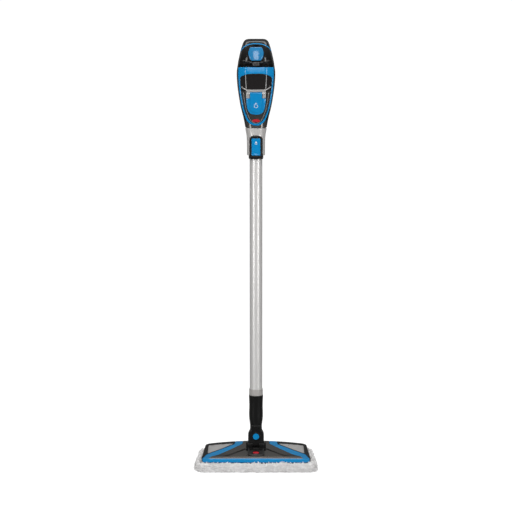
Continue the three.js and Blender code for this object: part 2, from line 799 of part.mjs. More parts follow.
// Where the cord gland leaves the lower end of the handle, as a cylinder's placing matrix.
const GLAND_OUT = new THREE.Vector3(0, 0.78, -0.62).normalize();
const GLAND_PLACE = new THREE.Matrix4()
  .makeTranslation(0, 68, 74)
  .multiply(
    new THREE.Matrix4().makeRotationFromQuaternion(
      new THREE.Quaternion().setFromUnitVectors(new THREE.Vector3(0, 1, 0), GLAND_OUT),
    ),
  )
  .multiply(new THREE.Matrix4().makeTranslation(0, 30, 0));
const SCREW_HEADS = [-26, -18, -12.5];

function handset() {
  const bulkhead = cut(
    common(bodyLoft(-WALL - GAP), block(-FAR, FAR, BULKHEAD.front, BULKHEAD.back, 3, 172)),
    bar("y", 3.4, -30, 0, [VALVE.x, VALVE.z], 12),
  );
  const lens = common(frontPrism(LENS, -80, -5), cut(bodyLoft(1.8), bodyLoft(-0.9)));
  const grip = common(cut(handleLoft(1.2), handleLoft(GAP)), block(-30, 30, 91, 130, 100, 184));
  const spigot = cut(
    turned([
      [SPIGOT_R, -51],
      [SPIGOT_R, 2.8],
      [20, 2.8],
      [20, 6],
      [3, 6],
      [3, -51],
    ]),
    below(BULKHEAD.back + GAP, 2.5),
  );
  const gland = cut(
    solid(new THREE.CylinderGeometry(5, 5, 9, 16).translate(0, -17.5, 0).applyMatrix4(GLAND_PLACE)),
    solid(new THREE.CylinderGeometry(3.2, 3.2, 30, 12).translate(0, -17.5, 0).applyMatrix4(GLAND_PLACE)),
  );
  const inletHose = hose(
    [
      [VALVE.x, -1.8, 24],
      [-13, 3, 24.5],
      [-21, 5, 29],
      [-26.5, 5, 42],
      [-27, 6, 76],
      [-25, 9, 86],
      [-20.5, 12, 93.5],
      [-20, 12, 97.4],
    ],
    2.5,
    1.5,
    14,
  );
  const feedHose = hose(
    [
      [-20, 12, 150.6],
      [-19, 12, 158],
      [-9, 10, 163],
      [-1.5, 8, 154],
      [-1.5, 6, 130],
      [2, 6, 105],
      [4, 6, 86.5],
    ],
    2.5,
    1.5,
    14,
  );
  const steamHose = hose(
    [
      [0, 5, 31.4],
      [0, 5, 26],
      [0, 1, 14],
      [0, 0, 6.5],
    ],
    2.5,
    1.5,
    6,
  );
  const made = [
    ...housing(),
    piece("tank_bulkhead", bulkhead, SATIN_BLACK),
    piece("indicator_lens", lens, BLUE),
    piece("grip_overmould", grip, RUBBER),
    piece("handset_spigot", spigot, SATIN_BLACK),
    piece("cord_gland", gland, RUBBER),
    piece("boiler", block(-20, 20, -6, 19, 32, 86), ALUMINIUM),
    piece("water_pump", bar("z", 13, 98, 150, [-20, 12]), STEEL),
    piece("circuit_board", block(2, 34, 18, 19.6, 100, 150), BOARD),
    piece("trigger_spring", spring(3.4, 0.45, 86.8, 100.5, 5, [0, 154]), STEEL),
    piece("inlet_hose", inletHose, SILICONE),
    piece("feed_hose", feedHose, SILICONE),
    piece("steam_hose", steamHose, SILICONE),
  ];
  BOSSES.forEach((c, i) => {
    const head = SCREW_HEADS[i];
    const screw = join(bar("x", 2, head - 1, 13, c, 8), bar("x", 3.2, head - 2.2, head - GAP, c, 12));
    made.push(piece(`housing_screw_${i + 1}`, screw, STEEL));
  });
  return group("handset", HANDSET_Z, ...made);
}

function trigger() {
  const side = new THREE.Shape();
  side.moveTo(85, 150.5);
  side.lineTo(68, 151);
  side.quadraticCurveTo(62, 152, 64.5, 158);
  side.quadraticCurveTo(69, 168, 66.5, 180);
  side.quadraticCurveTo(68, 183, 74, 181.5);
  side.lineTo(85, 181.5);
  const finger = sidePrism(side, -8.5, 8.5);
  const flange = block(-10.5, 10.5, 84.2, 86.4, 145.5, 184);
  return group("trigger", HANDSET_Z, piece("steam_trigger", join(finger, flange), BLUE));
}

function tankLatch() {
  const ribs = [-6, -3, 0, 3, 6].map((x) => block(x - 0.8, x + 0.8, -43.6, -42, 169.5, 177.5));
  const latch = join(block(-9, 9, -42.5, -34, 168.5, 178.5), ...ribs);
  return group("tank_latch", HANDSET_Z, piece("tank_release_latch", latch, WARM_GREY));
}

// ---------- The water tank ----------
const HINGE = { y: -50.8, z: 97 };
const FILL = { z: 62, radius: 9 };

function tank() {
  const ringPrism = cut(frontPrism(TANK_OUTLINE, -FAR, -22), frontPrism(TANK_WINDOW, -FAR, 0));
  const frame = common(tankLoft(0), ringPrism);
  const backBlock = (inset, y0, y1) => frontPrism(grown(TANK_OUTLINE, -inset), y0, y1);
  const outer = join(
    common(tankLoft(0), frontPrism(grown(TANK_WINDOW, -GAP), -FAR, -20)),
    backBlock(0.6, -22 + GAP, BULKHEAD.front - 0.6),
  );
  const water = join(
    common(tankLoft(-2), frontPrism(grown(TANK_WINDOW, -2.3), -FAR, -16)),
    backBlock(2.8, -19.6, -13.8),
  );
  const bandHollow = common(tankLoft(-2.5), block(-42, 42, -FAR, -22 + 0.1, 151, 162.5));
  const shell = cut(
    outer,
    water,
    bar("y", FILL.radius, -60, -30, [0, FILL.z], 20),
    bar("y", 3.1, -16, 0, [VALVE.x, VALVE.z], 12),
  );
  const valve = cut(
    bar("y", 2.8, -15, -3, [VALVE.x, VALVE.z], 12),
    bar("y", 1.4, -20, 0, [VALVE.x, VALVE.z], 8),
  );

  const skin = (d0, d1) => cut(tankLoft(d1), tankLoft(d0));
  const strut = [
    [22, 101.5],
    [38.3, 112.5],
    [38.3, 116],
    [22, 105.5],
  ];
  const low = join(
    frontPrism(rectangle(24, 100.4, 106.5), -FAR, 0),
    frontPrism(strut, -FAR, 0),
    frontPrism(mirrored(strut), -FAR, 0),
  );
  const posts = join(block(-24, -16.4, -FAR, 0, 83.8, 104), block(16.4, 24, -FAR, 0, 83.8, 104));
  const bracket = cut(
    join(common(low, skin(GAP, 2.5)), common(posts, skin(GAP, 5.4))),
    bar("x", 1.3, -FAR, FAR, [HINGE.y, HINGE.z], 12),
  );
  return group(
    "tank",
    HANDSET_Z,
    piece("tank_shell", shell, SMOKE),
    piece("tank_blue_frame", cut(frame, bandHollow), BLUE),
    piece("tank_outlet_valve", valve, RUBBER),
    piece("fill_door_bracket", bracket, WARM_GREY),
    piece("fill_door_pin", bar("x", 1.2, -23.5, 23.5, [HINGE.y, HINGE.z], 12), STEEL),
  );
}

function fillDoor() {
  const wide = rounded(bothSides([[9, 37.8], [20, 43], [24.6, 60], [26.5, 83.2]]), 2);
  const stem = rectangle(15.9, 83, 97);
  const raised = rounded(bothSides([[8, 43.5], [14.5, 48], [15.8, 60], [15.8, 96.5]]), 2);
  const skin = (d0, d1) => cut(tankLoft(d1), tankLoft(d0));
  const leaf = cut(
    join(
      common(join(frontPrism(wide, -FAR, 0), frontPrism(stem, -FAR, 0)), skin(0.6, 3.6)),
      common(frontPrism(raised, -FAR, 0), skin(3, 4.8)),
      bar("x", 2.5, -15.9, 15.9, [HINGE.y, HINGE.z], 16),
    ),
    bar("x", 1.3, -FAR, FAR, [HINGE.y, HINGE.z], 12),
  );
  const plug = common(bar("y", 8.4, -60, -30, [0, FILL.z], 20), cut(tankLoft(GAP), tankLoft(-2.2)));
  const door = piece("tank_fill_door", leaf, BLUE);
  return group("fill_door", HANDSET_Z, door, piece("fill_plug", plug, RUBBER));
}

const mop = new THREE.Group();
mop.name = "steam_mop";
mop.add(pad(), foot(), knuckle(), neck(), snapButton(), wand(), releaseButton());
mop.add(handset(), trigger(), tankLatch(), tank(), fillDoor());

export default mop;
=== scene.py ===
import math

import bmesh
import bpy
import numpy as np
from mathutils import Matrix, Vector
from mathutils.geometry import delaunay_2d_cdt


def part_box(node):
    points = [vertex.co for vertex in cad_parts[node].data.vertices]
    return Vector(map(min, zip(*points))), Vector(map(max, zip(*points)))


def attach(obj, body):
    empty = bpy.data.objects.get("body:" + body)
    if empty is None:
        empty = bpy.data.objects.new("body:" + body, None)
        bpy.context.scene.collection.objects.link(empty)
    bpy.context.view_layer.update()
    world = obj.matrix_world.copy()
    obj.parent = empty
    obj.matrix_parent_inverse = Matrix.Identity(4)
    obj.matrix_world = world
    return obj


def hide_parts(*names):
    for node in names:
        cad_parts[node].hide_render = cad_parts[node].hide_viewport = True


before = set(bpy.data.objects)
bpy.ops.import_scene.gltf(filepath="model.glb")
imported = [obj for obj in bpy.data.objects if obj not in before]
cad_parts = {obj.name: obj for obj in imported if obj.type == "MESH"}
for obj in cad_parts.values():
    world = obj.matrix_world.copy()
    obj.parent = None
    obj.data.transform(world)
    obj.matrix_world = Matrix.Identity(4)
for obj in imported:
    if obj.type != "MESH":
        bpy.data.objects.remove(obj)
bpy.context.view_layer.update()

scene = bpy.context.scene

# ---------------------------------------------------------------- camera, light and floor
# The camera stands at chest height a little over four metres in front of the mop, with a long lens. The light is
# a bright studio: two tall strips beside the mop, a big soft box above and in front, a thin strip overhead, two
# weak lamps behind, and a white room.
camera = bpy.data.objects.new("camera", bpy.data.cameras.new("camera"))
scene.collection.objects.link(camera)
camera.data.sensor_width = 36.0
camera.data.lens = 113.4
camera.location = (0.0, -4.308, 1.05)
camera_aim = Vector((0.0, 0.0, 0.5702))
camera.rotation_euler = (camera_aim - camera.location).to_track_quat("-Z", "Y").to_euler()
scene.camera = camera


def soft_box(name, place, aim, width, height, power):
    light = bpy.data.lights.new(name, "AREA")
    light.shape = "RECTANGLE"
    light.size, light.size_y, light.energy = width, height, power
    lamp = bpy.data.objects.new(name, light)
    lamp.location = place
    lamp.rotation_euler = (Vector(aim) - Vector(place)).to_track_quat("-Z", "Y").to_euler()
    scene.collection.objects.link(lamp)


soft_box("strip_left", (-1.9, -2.2, 0.8), (0, 0, 0.6), 0.4, 2.6, 34)
soft_box("strip_right", (1.9, -2.2, 0.8), (0, 0, 0.6), 0.4, 2.6, 34)
soft_box("front_box", (0.0, -3.6, 2.9), (0, 0, 0.45), 1.3, 3.2, 62)
soft_box("top_strip", (0, 0.3, 2.6), (0, 0, 0.3), 2.4, 0.3, 16)
soft_box("back_left", (-1.9, 1.9, 1.5), (0, 0, 0.6), 0.8, 2.2, 2)
soft_box("back_right", (1.9, 1.9, 1.5), (0, 0, 0.6), 0.8, 2.2, 2)

# The room is white to look at, but it lights the mop softly from overhead, so that black plastic stays black.
room = bpy.data.worlds.new("studio_room")
scene.world = room
room.use_nodes = True
wn, wl = room.node_tree.nodes, room.node_tree.links
wn.clear()
room_out, choose = wn.new("ShaderNodeOutputWorld"), wn.new("ShaderNodeMixShader")
seen, lighting = wn.new("ShaderNodeBackground"), wn.new("ShaderNodeBackground")
seen.inputs["Color"].default_value = (1.0, 1.0, 1.0, 1)
seen.inputs["Strength"].default_value = 1.05
ways, height = wn.new("ShaderNodeTexCoord"), wn.new("ShaderNodeSeparateXYZ")
overhead = wn.new("ShaderNodeMapRange")
for label, value in (("From Min", 0.1), ("From Max", 0.85), ("To Min", 0.05), ("To Max", 0.45)):
    overhead.inputs[label].default_value = value
path = wn.new("ShaderNodeLightPath")
wl.new(ways.outputs["Generated"], height.inputs[0])
wl.new(height.outputs["Z"], overhead.inputs["Value"])
wl.new(overhead.outputs["Result"], lighting.inputs["Strength"])
wl.new(path.outputs["Is Camera Ray"], choose.inputs["Fac"])
wl.new(lighting.outputs[0], choose.inputs[1])
wl.new(seen.outputs[0], choose.inputs[2])
wl.new(choose.outputs[0], room_out.inputs["Surface"])
scene.view_settings.view_transform = "Standard"

floor_mesh = bpy.data.meshes.new("floor")
FLOOR = 40
floor_corners = [(-FLOOR, -FLOOR, 0), (FLOOR, -FLOOR, 0), (FLOOR, FLOOR, 0), (-FLOOR, FLOOR, 0)]
floor_mesh.from_pydata(floor_corners, [], [(0, 1, 2, 3)])
floor = bpy.data.objects.new("floor", floor_mesh)
scene.collection.objects.link(floor)
floor_paint = bpy.data.materials.new("floor_paint")
floor_paint.use_nodes = True
floor_shader = floor_paint.node_tree.nodes["Principled BSDF"]
floor_shader.inputs["Base Color"].default_value = (0.22, 0.22, 0.22, 1)
floor_shader.inputs["Roughness"].default_value = 1.0
floor_shader.inputs["Specular IOR Level"].default_value = 0.0
floor_shader.inputs["Emission Color"].default_value = (1.0, 1.0, 1.0, 1)
floor_look = floor_paint.node_tree.nodes.new("ShaderNodeLightPath")
floor_glow = floor_paint.node_tree.nodes.new("ShaderNodeMapRange")
floor_glow.inputs["To Min"].default_value, floor_glow.inputs["To Max"].default_value = 0.06, 1.0
floor_paint.node_tree.links.new(floor_look.outputs["Is Camera Ray"], floor_glow.inputs["Value"])
floor_paint.node_tree.links.new(floor_glow.outputs["Result"], floor_shader.inputs["Emission Strength"])
floor_mesh.materials.append(floor_paint)


# ---------------------------------------------------------------- mop pad
# A washable pad: long white microfibre pile in curly locks, sewn to a grey woven backing. Its rim stands up round
# the foot like a fringe. The pile is a lumpy padded ring with thousands of little locks set on it.
MM = 0.001


def solid(name, points, faces):
    """An object from points in millimetres, with its faces pointing outwards."""
    mesh = bpy.data.meshes.new(name)
    mesh.from_pydata(
        [tuple(float(c) * MM for c in p) for p in points], [], [tuple(map(int, f)) for f in faces]
    )
    made = bpy.data.objects.new(name, mesh)
    scene.collection.objects.link(made)
    work = bmesh.new()
    work.from_mesh(mesh)
    bmesh.ops.remove_doubles(work, verts=work.verts, dist=1e-7)
    bmesh.ops.recalc_face_normals(work, faces=work.faces)
    work.to_mesh(mesh)
    work.free()
    return made


def applied(made):
    """Turns an object and its modifiers into a plain mesh."""
    bpy.context.view_layer.update()
    seen_by = bpy.context.evaluated_depsgraph_get()
    mesh = bpy.data.meshes.new_from_object(made.evaluated_get(seen_by))
    made.modifiers.clear()
    old, made.data = made.data, mesh
    mesh.name = made.name
    bpy.data.meshes.remove(old)
    return made


def put(made, material, body, slot, *nodes, sharp=35):
    """Finishes a piece: its material, its smooth faces, the body it rides on and the CAD nodes it stands for."""
    made.data.materials.clear()
    made.data.materials.append(material)
    for polygon in made.data.polygons:
        polygon.material_index = 0
        polygon.use_smooth = True
    made.data.set_sharp_from_angle(angle=math.radians(sharp))
    weighted = made.modifiers.new("even_normals", "WEIGHTED_NORMAL")
    weighted.keep_sharp = True
    applied(made)
    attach(made, body)
    if nodes:
        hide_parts(*nodes)
    return made


def linked(tree, *pairs):
    for a, b in pairs:
        tree.links.new(a, b)


def shader_group(name, inputs, outputs):
    """An empty shader node group with float, vector or colour sockets."""
    group = bpy.data.node_groups.new(name, "ShaderNodeTree")
    kinds = {"f": "NodeSocketFloat", "v": "NodeSocketVector", "c": "NodeSocketColor"}
    for label, kind, value in inputs:
        socket = group.interface.new_socket(label, in_out="INPUT", socket_type=kinds[kind])
        if kind != "v":
            socket.default_value = value
    for label, kind in outputs:
        group.interface.new_socket(label, in_out="OUTPUT", socket_type=kinds[kind])
    return group, group.nodes.new("NodeGroupInput"), group.nodes.new("NodeGroupOutput")


def node(tree, kind, **values):
    """A node with some of its inputs or settings given by name."""
    made = tree.nodes.new(kind)
    for label, value in values.items():
        label = label.replace("_", " ")
        if label in made.inputs:
            made.inputs[label].default_value = value
        else:
            setattr(made, label.replace(" ", "_"), value)
    return made


def calc(tree, operation, a, b=0.0, clamp=False):
    """A Math node; a and b are sockets or numbers."""
    made = tree.nodes.new("ShaderNodeMath")
    made.operation, made.use_clamp = operation, clamp
    for socket, value in zip(made.inputs, (a, b)):
        if isinstance(value, (int, float)):
            socket.default_value = value
        else:
            tree.links.new(value, socket)
    return made.outputs[0]


def blend_colour(tree, mask, a, b):
    made = tree.nodes.new("ShaderNodeMix")
    made.data_type = "RGBA"
    for label, value in (("A", a), ("B", b)):
        socket = next(s for s in made.inputs if s.name == label and s.type == "RGBA")
        if isinstance(value, tuple):
            socket.default_value = (*value, 1)
        else:
            tree.links.new(value, socket)
    tree.links.new(mask, made.inputs[0])
    return next(s for s in made.outputs if s.type == "RGBA")


# Cloth fibre: a soft mottle of colour and a fine fuzz, for the pile and the backing.
fibre, gi, go = shader_group(
    "cloth_fibre",
    [
        ("Light", "c", (0.9, 0.9, 0.9, 1)), ("Dark", "c", (0.6, 0.6, 0.6, 1)), ("Size", "f", 400.0),
        ("Depth", "f", 0.3)
    ],
    [("Color", "c"), ("Normal", "v")],
)
where = node(fibre, "ShaderNodeTexCoord")
clumps = node(fibre, "ShaderNodeTexNoise", Detail=5.0, Roughness=0.65)
fuzz = node(fibre, "ShaderNodeTexNoise", Detail=2.0)
bump = node(fibre, "ShaderNodeBump", Distance=0.0005)
linked(
    fibre,
    (where.outputs["Object"], clumps.inputs["Vector"]),
    (where.outputs["Object"], fuzz.inputs["Vector"]),
    (calc(fibre, "MULTIPLY", gi.outputs["Size"], 0.22), clumps.inputs["Scale"]),
    (calc(fibre, "MULTIPLY", gi.outputs["Size"], 2.0), fuzz.inputs["Scale"]),
    (fuzz.outputs["Fac"], bump.inputs["Height"]),
    (gi.outputs["Depth"], bump.inputs["Strength"]),
    (bump.outputs["Normal"], go.inputs["Normal"]),
)
shade = calc(
    fibre, "MULTIPLY", calc(fibre, "SUBTRACT", clumps.outputs["Fac"], 0.46, clamp=True), 5.0, clamp=True
)
linked(fibre, (blend_colour(fibre, shade, gi.outputs["Dark"], gi.outputs["Light"]), go.inputs["Color"]))


def cloth(name, light, dark, size, depth, sheen):
    made = bpy.data.materials.new(name)
    made.use_nodes = True
    tree = made.node_tree
    shader = tree.nodes["Principled BSDF"]
    effect = node(tree, "ShaderNodeGroup", node_tree=fibre)
    effect.inputs["Light"].default_value = (*light, 1)
    effect.inputs["Dark"].default_value = (*dark, 1)
    effect.inputs["Size"].default_value = size
    effect.inputs["Depth"].default_value = depth
    shader.inputs["Roughness"].default_value = 0.95
    shader.inputs["Sheen Weight"].default_value = sheen
    linked(
        tree, (effect.outputs["Color"], shader.inputs["Base Color"]),
        (effect.outputs["Normal"], shader.inputs["Normal"])
    )
    return made


pile_white = cloth("pile_white", (0.97, 0.965, 0.96), (0.8, 0.79, 0.785), 420, 0.4, 0.3)


def rounded(points, radii, steps=6):
    """A closed outline with round corners; radii is one number or one for each corner."""
    points = np.array(points, float)
    radii = np.full(len(points), float(radii)) if np.isscalar(radii) else np.array(radii, float)
    out = []
    for i, corner in enumerate(points):
        before, after = points[i - 1] - corner, points[(i + 1) % len(points)] - corner
        before /= np.linalg.norm(before)
        after /= np.linalg.norm(after)
        half = math.acos(np.clip(before @ after, -1, 1)) / 2
        if radii[i] < 0.05 or half > 1.55:
            out.append(corner)
            continue
        reach = radii[i] / math.tan(half)
        middle = corner + (before + after) / np.linalg.norm(before + after) * radii[i] / math.sin(half)
        a, b = corner + before * reach - middle, corner + after * reach - middle
        turn = math.atan2(a[0] * b[1] - a[1] * b[0], a @ b)
        for k in range(steps + 1):
            c, s = math.cos(turn * k / steps), math.sin(turn * k / steps)
            out.append(middle + (a[0] * c - a[1] * s, a[0] * s + a[1] * c))
    return np.array(out)


def plan(front, back, half_front, half_back, corner, steps=8):
    """The plan of the pad or the foot: a trapezoid, wider in front, with round corners."""
    return rounded(
        [(-half_front, front), (half_front, front), (half_back, back), (-half_back, back)], corner, steps
    )


def spread(loop, count):
    """The same closed outline with its points evenly spread."""
    closed = np.vstack([loop, loop[:1]])
    run = np.concatenate([[0], np.cumsum(np.linalg.norm(np.diff(closed, axis=0), axis=1))])
    at = np.linspace(0, run[-1], count, endpoint=False)
    return np.column_stack([np.interp(at, run, closed[:, k]) for k in (0, 1)])


def skin(rings, capped=True):
    """Points and faces of a skin over rings that all have the same number of points."""
    n = len(rings[0])
    points = [p for ring in rings for p in ring]
    faces = []
    for k in range(len(rings) - 1):
        for i in range(n):
            a, b = k * n + i, k * n + (i + 1) % n
            faces.append((a, b, b + n, a + n))
    if capped:
        faces.append(tuple(range(n))[::-1])
        faces.append(tuple(range((len(rings) - 1) * n, len(rings) * n)))
    return points, faces


PAD_OUTSIDE = spread(plan(-99, 85, 163.5, 153.5, 26), 240)
PAD_INSIDE = spread(plan(-94.2, 75.2, 148.4, 140.4, 16), 240)
pad_rings = []
for across, height in [
    (0.12, 0.3), (0.0, 1.2), (-0.03, 5.5), (0.0, 12.5), (0.06, 18.5), (0.25, 23.2), (0.6, 25.4), (0.88, 24.2),
    (1.02, 20.5), (1.04, 11.6)
]:
    lie = PAD_OUTSIDE + (PAD_INSIDE - PAD_OUTSIDE) * across
    pad_rings.append([(x, y, height) for x, y in lie])
pad_points, pad_faces = skin(pad_rings, capped=False)
ring_count = len(PAD_OUTSIDE)
pad_faces.append(tuple(range(ring_count))[::-1])
pad_faces.append(tuple(range((len(pad_rings) - 1) * ring_count, len(pad_rings) * ring_count)))
mop_pad = solid("mop_pad", pad_points, pad_faces)
lumps = bpy.data.textures.new("pile_lumps", "CLOUDS")
lumps.noise_scale, lumps.noise_depth = 0.0085, 2
swell = mop_pad.modifiers.new("lumps", "DISPLACE")
swell.texture, swell.strength, swell.mid_level = lumps, 0.0062, 0.6
applied(mop_pad)


def geometry_tree(name, *inputs):
    """An empty Geometry Nodes tree with a mesh in, a mesh out and the named number inputs."""
    tree = bpy.data.node_groups.new(name, "GeometryNodeTree")
    tree.interface.new_socket("Mesh", in_out="INPUT", socket_type="NodeSocketGeometry")
    for label, value in inputs:
        kind = "NodeSocketInt" if isinstance(value, int) else "NodeSocketFloat"
        tree.interface.new_socket(label, in_out="INPUT", socket_type=kind).default_value = value
    tree.interface.new_socket("Mesh", in_out="OUTPUT", socket_type="NodeSocketGeometry")
    return tree, tree.nodes.new("NodeGroupInput"), tree.nodes.new("NodeGroupOutput")


def grow(made, tree, **values):
    """Runs a Geometry Nodes tree on an object with the given inputs, and keeps the plain mesh it makes."""
    modifier = made.modifiers.new(tree.name, "NODES")
    modifier.node_group = tree
    for item in tree.interface.items_tree:
        if item.in_out == "INPUT" and item.name.replace(" ", "_") in values:
            modifier[item.identifier] = values[item.name.replace(" ", "_")]
    made.update_tag()
    return applied(made)


# Locks of pile: a small curl of yarn on every scattered point, pointing out of the pad with some disorder.
locks, gi, go = geometry_tree(
    "pile_locks", ("Density", 60000.0), ("Length", 0.006), ("Yarn", 0.0009), ("Seed", 3)
)
scatter = node(locks, "GeometryNodeDistributePointsOnFaces")
where_pile = node(locks, "GeometryNodeInputNamedAttribute", data_type="FLOAT")
where_pile.inputs["Name"].default_value = "pile_share"
curl = node(
    locks, "GeometryNodeCurveSpiral", Resolution=7, Rotations=0.7, Start_Radius=0.0011, End_Radius=0.0005,
    Height=0.006
)
curl_section = node(locks, "GeometryNodeCurvePrimitiveCircle", Resolution=4, Radius=0.0009)
curl_mesh = node(locks, "GeometryNodeCurveToMesh", Fill_Caps=True)
taper = node(locks, "GeometryNodeSetCurveRadius")
along_curl = node(locks, "GeometryNodeSplineParameter")
set_locks = node(locks, "GeometryNodeInstanceOnPoints")
tousle = node(locks, "GeometryNodeRotateInstances")
disorder = node(locks, "FunctionNodeRandomValue", data_type="FLOAT_VECTOR")
disorder.inputs[0].default_value = (-0.75, -0.75, -3.1)
disorder.inputs[1].default_value = (0.75, 0.75, 3.1)
sizes = node(locks, "FunctionNodeRandomValue", data_type="FLOAT")
sizes.inputs[2].default_value = 0.65
sizes.inputs[3].default_value = 1.25
real = node(locks, "GeometryNodeRealizeInstances")
both = node(locks, "GeometryNodeJoinGeometry")
paint = node(locks, "GeometryNodeSetMaterial", Material=pile_white)
linked(
    locks,
    (gi.outputs["Mesh"], scatter.inputs["Mesh"]),
    (
        calc(locks, "MULTIPLY", gi.outputs["Density"], where_pile.outputs["Attribute"]),
        scatter.inputs["Density"]
    ),
    (gi.outputs["Seed"], scatter.inputs["Seed"]),
    (gi.outputs["Length"], curl.inputs["Height"]),
    (gi.outputs["Yarn"], curl_section.inputs["Radius"]),
    (curl.outputs["Curve"], taper.inputs["Curve"]),
    (
        calc(locks, "SUBTRACT", 1.0, calc(locks, "MULTIPLY", along_curl.outputs["Factor"], 0.55)),
        taper.inputs["Radius"]
    ),
    (taper.outputs["Curve"], curl_mesh.inputs["Curve"]),
    (curl_section.outputs["Curve"], curl_mesh.inputs["Profile Curve"]),
    (curl_mesh.outputs["Mesh"], set_locks.inputs["Instance"]),
    (scatter.outputs["Points"], set_locks.inputs["Points"]),
    (scatter.outputs["Rotation"], set_locks.inputs["Rotation"]),
    (sizes.outputs[1], set_locks.inputs["Scale"]),
    (set_locks.outputs["Instances"], tousle.inputs["Instances"]),
    (disorder.outputs["Value"], tousle.inputs["Rotation"]),
    (tousle.outputs["Instances"], real.inputs["Geometry"]),
    (gi.outputs["Mesh"], both.inputs["Geometry"]),
    (real.outputs["Geometry"], both.inputs["Geometry"]),
    (both.outputs["Geometry"], paint.inputs["Geometry"]),
    (paint.outputs["Geometry"], go.inputs["Mesh"]),
)
pile_share = mop_pad.data.attributes.new("pile_share", "FLOAT", "FACE")
for face in mop_pad.data.polygons:
    pile_share.data[face.index].value = 0.0 if face.area > 0.01 and face.normal.z > 0 else 1.0
grow(mop_pad, locks, Density=62000.0, Length=0.0046, Yarn=0.00095, Seed=3)
for vertex in mop_pad.data.vertices:
    vertex.co.z = max(vertex.co.z, 0.0002)
put(mop_pad, pile_white, "pad", "microfibre", "pad_pile", "pad_rim", sharp=80)

# The backing cloth lies inside the rim, under the foot, and takes the hooks of the foot.
backing_grey = cloth("backing_grey", (0.62, 0.61, 0.6), (0.46, 0.45, 0.44), 900, 0.8, 0.2)
cloth_points, cloth_faces = [], []
columns, rows = 60, 34
for j in range(rows + 1):
    for i in range(columns + 1):
        down = j / rows
        half = 146.5 - 8 * down
        x, y = half * (2 * i / columns - 1), -92.5 + 166 * down
        corner = min(1.0, (1 - abs(2 * i / columns - 1)) * 20 + 0.55)
        cloth_points.append(
            (x * (0.985 + 0.015 * corner), y, 13.95 + 0.22 * math.sin(x / 9 + y / 23) * math.cos(y / 14))
        )
        if i < columns and j < rows:
            a = j * (columns + 1) + i
            cloth_faces.append((a, a + 1, a + columns + 2, a + columns + 1))
backing_cloth = solid("backing_cloth", cloth_points, cloth_faces)
thick = backing_cloth.modifiers.new("cloth_thickness", "SOLIDIFY")
thick.thickness, thick.offset = 0.0007, 0.0
applied(backing_cloth)
put(backing_cloth, backing_grey, "pad", "backing_cloth", "pad_cloth")


# ---------------------------------------------------------------- foot
# A flat foot of moulded ABS: a gunmetal pearl fascia, a glossy blue trim along the front and up both sides of the
# fascia, black end frames with cloudy clear windows, all snapped on to a black base tray.
# Moulded plastic: fine grain in the surface, a little unevenness in the gloss, pale rubbed edges and some dust.
moulded, gi, go = shader_group(
    "moulded_surface",
    [
        ("Color", "c", (0.5, 0.5, 0.5, 1)), ("Roughness", "f", 0.4), ("Grain", "f", 900.0),
        ("Depth", "f", 0.05), ("Wear", "f", 0.2), ("Dust", "f", 0.1)
    ],
    [("Color", "c"), ("Roughness", "f"), ("Normal", "v")],
)
where = node(moulded, "ShaderNodeTexCoord")
shape = node(moulded, "ShaderNodeNewGeometry")
grain = node(moulded, "ShaderNodeTexNoise", Detail=3.0, Roughness=0.6)
patches = node(moulded, "ShaderNodeTexNoise", Scale=16.0, Detail=5.0)
bump = node(moulded, "ShaderNodeBump", Distance=0.0004)
up = node(moulded, "ShaderNodeSeparateXYZ")
linked(
    moulded,
    (where.outputs["Object"], grain.inputs["Vector"]),
    (where.outputs["Object"], patches.inputs["Vector"]),
    (gi.outputs["Grain"], grain.inputs["Scale"]),
    (grain.outputs["Fac"], bump.inputs["Height"]),
    (gi.outputs["Depth"], bump.inputs["Strength"]),
    (bump.outputs["Normal"], go.inputs["Normal"]),
    (shape.outputs["Normal"], up.inputs["Vector"]),
)
edge = calc(
    moulded, "MULTIPLY", calc(moulded, "SUBTRACT", shape.outputs["Pointiness"], 0.53, clamp=True), 9.0,
    clamp=True
)
rubbed = calc(
    moulded, "MULTIPLY", calc(moulded, "MULTIPLY", edge, patches.outputs["Fac"]), gi.outputs["Wear"]
)
settled = calc(
    moulded, "MULTIPLY", calc(moulded, "MULTIPLY", up.outputs["Z"], patches.outputs["Fac"], clamp=True),
    gi.outputs["Dust"]
)
worn = blend_colour(moulded, rubbed, gi.outputs["Color"], (0.75, 0.74, 0.73))
dusty = blend_colour(moulded, settled, worn, (0.7, 0.69, 0.67))
uneven = calc(moulded, "MULTIPLY", calc(moulded, "SUBTRACT", patches.outputs["Fac"], 0.5), 0.12)
gloss = calc(
    moulded, "ADD", calc(moulded, "ADD", gi.outputs["Roughness"], uneven),
    calc(moulded, "MULTIPLY", settled, 0.5), clamp=True
)
linked(moulded, (dusty, go.inputs["Color"]), (gloss, go.inputs["Roughness"]))


def plastic(
    name, colour, roughness, grain=900, depth=0.05, wear=0.2, dust=0.08, coat=0.0, metal=0.0, clear=0.0,
    shine=0.5
):
    """A moulded, painted or metal finish made with the moulded_surface group."""
    made = bpy.data.materials.new(name)
    made.use_nodes = True
    tree = made.node_tree
    shader = tree.nodes["Principled BSDF"]
    effect = node(tree, "ShaderNodeGroup", node_tree=moulded)
    for label, value in (
        ("Color", (*colour, 1)), ("Roughness", roughness), ("Grain", grain), ("Depth", depth), ("Wear", wear),
        ("Dust", dust)
    ):
        effect.inputs[label].default_value = value
    shader.inputs["Coat Weight"].default_value = coat
    shader.inputs["Coat Roughness"].default_value = 0.06
    shader.inputs["Specular IOR Level"].default_value = shine
    shader.inputs["Metallic"].default_value = metal
    shader.inputs["Transmission Weight"].default_value = clear
    linked(
        tree,
        (effect.outputs["Color"], shader.inputs["Base Color"]),
        (effect.outputs["Roughness"], shader.inputs["Roughness"]),
        (effect.outputs["Normal"], shader.inputs["Normal"]),
    )
    return made


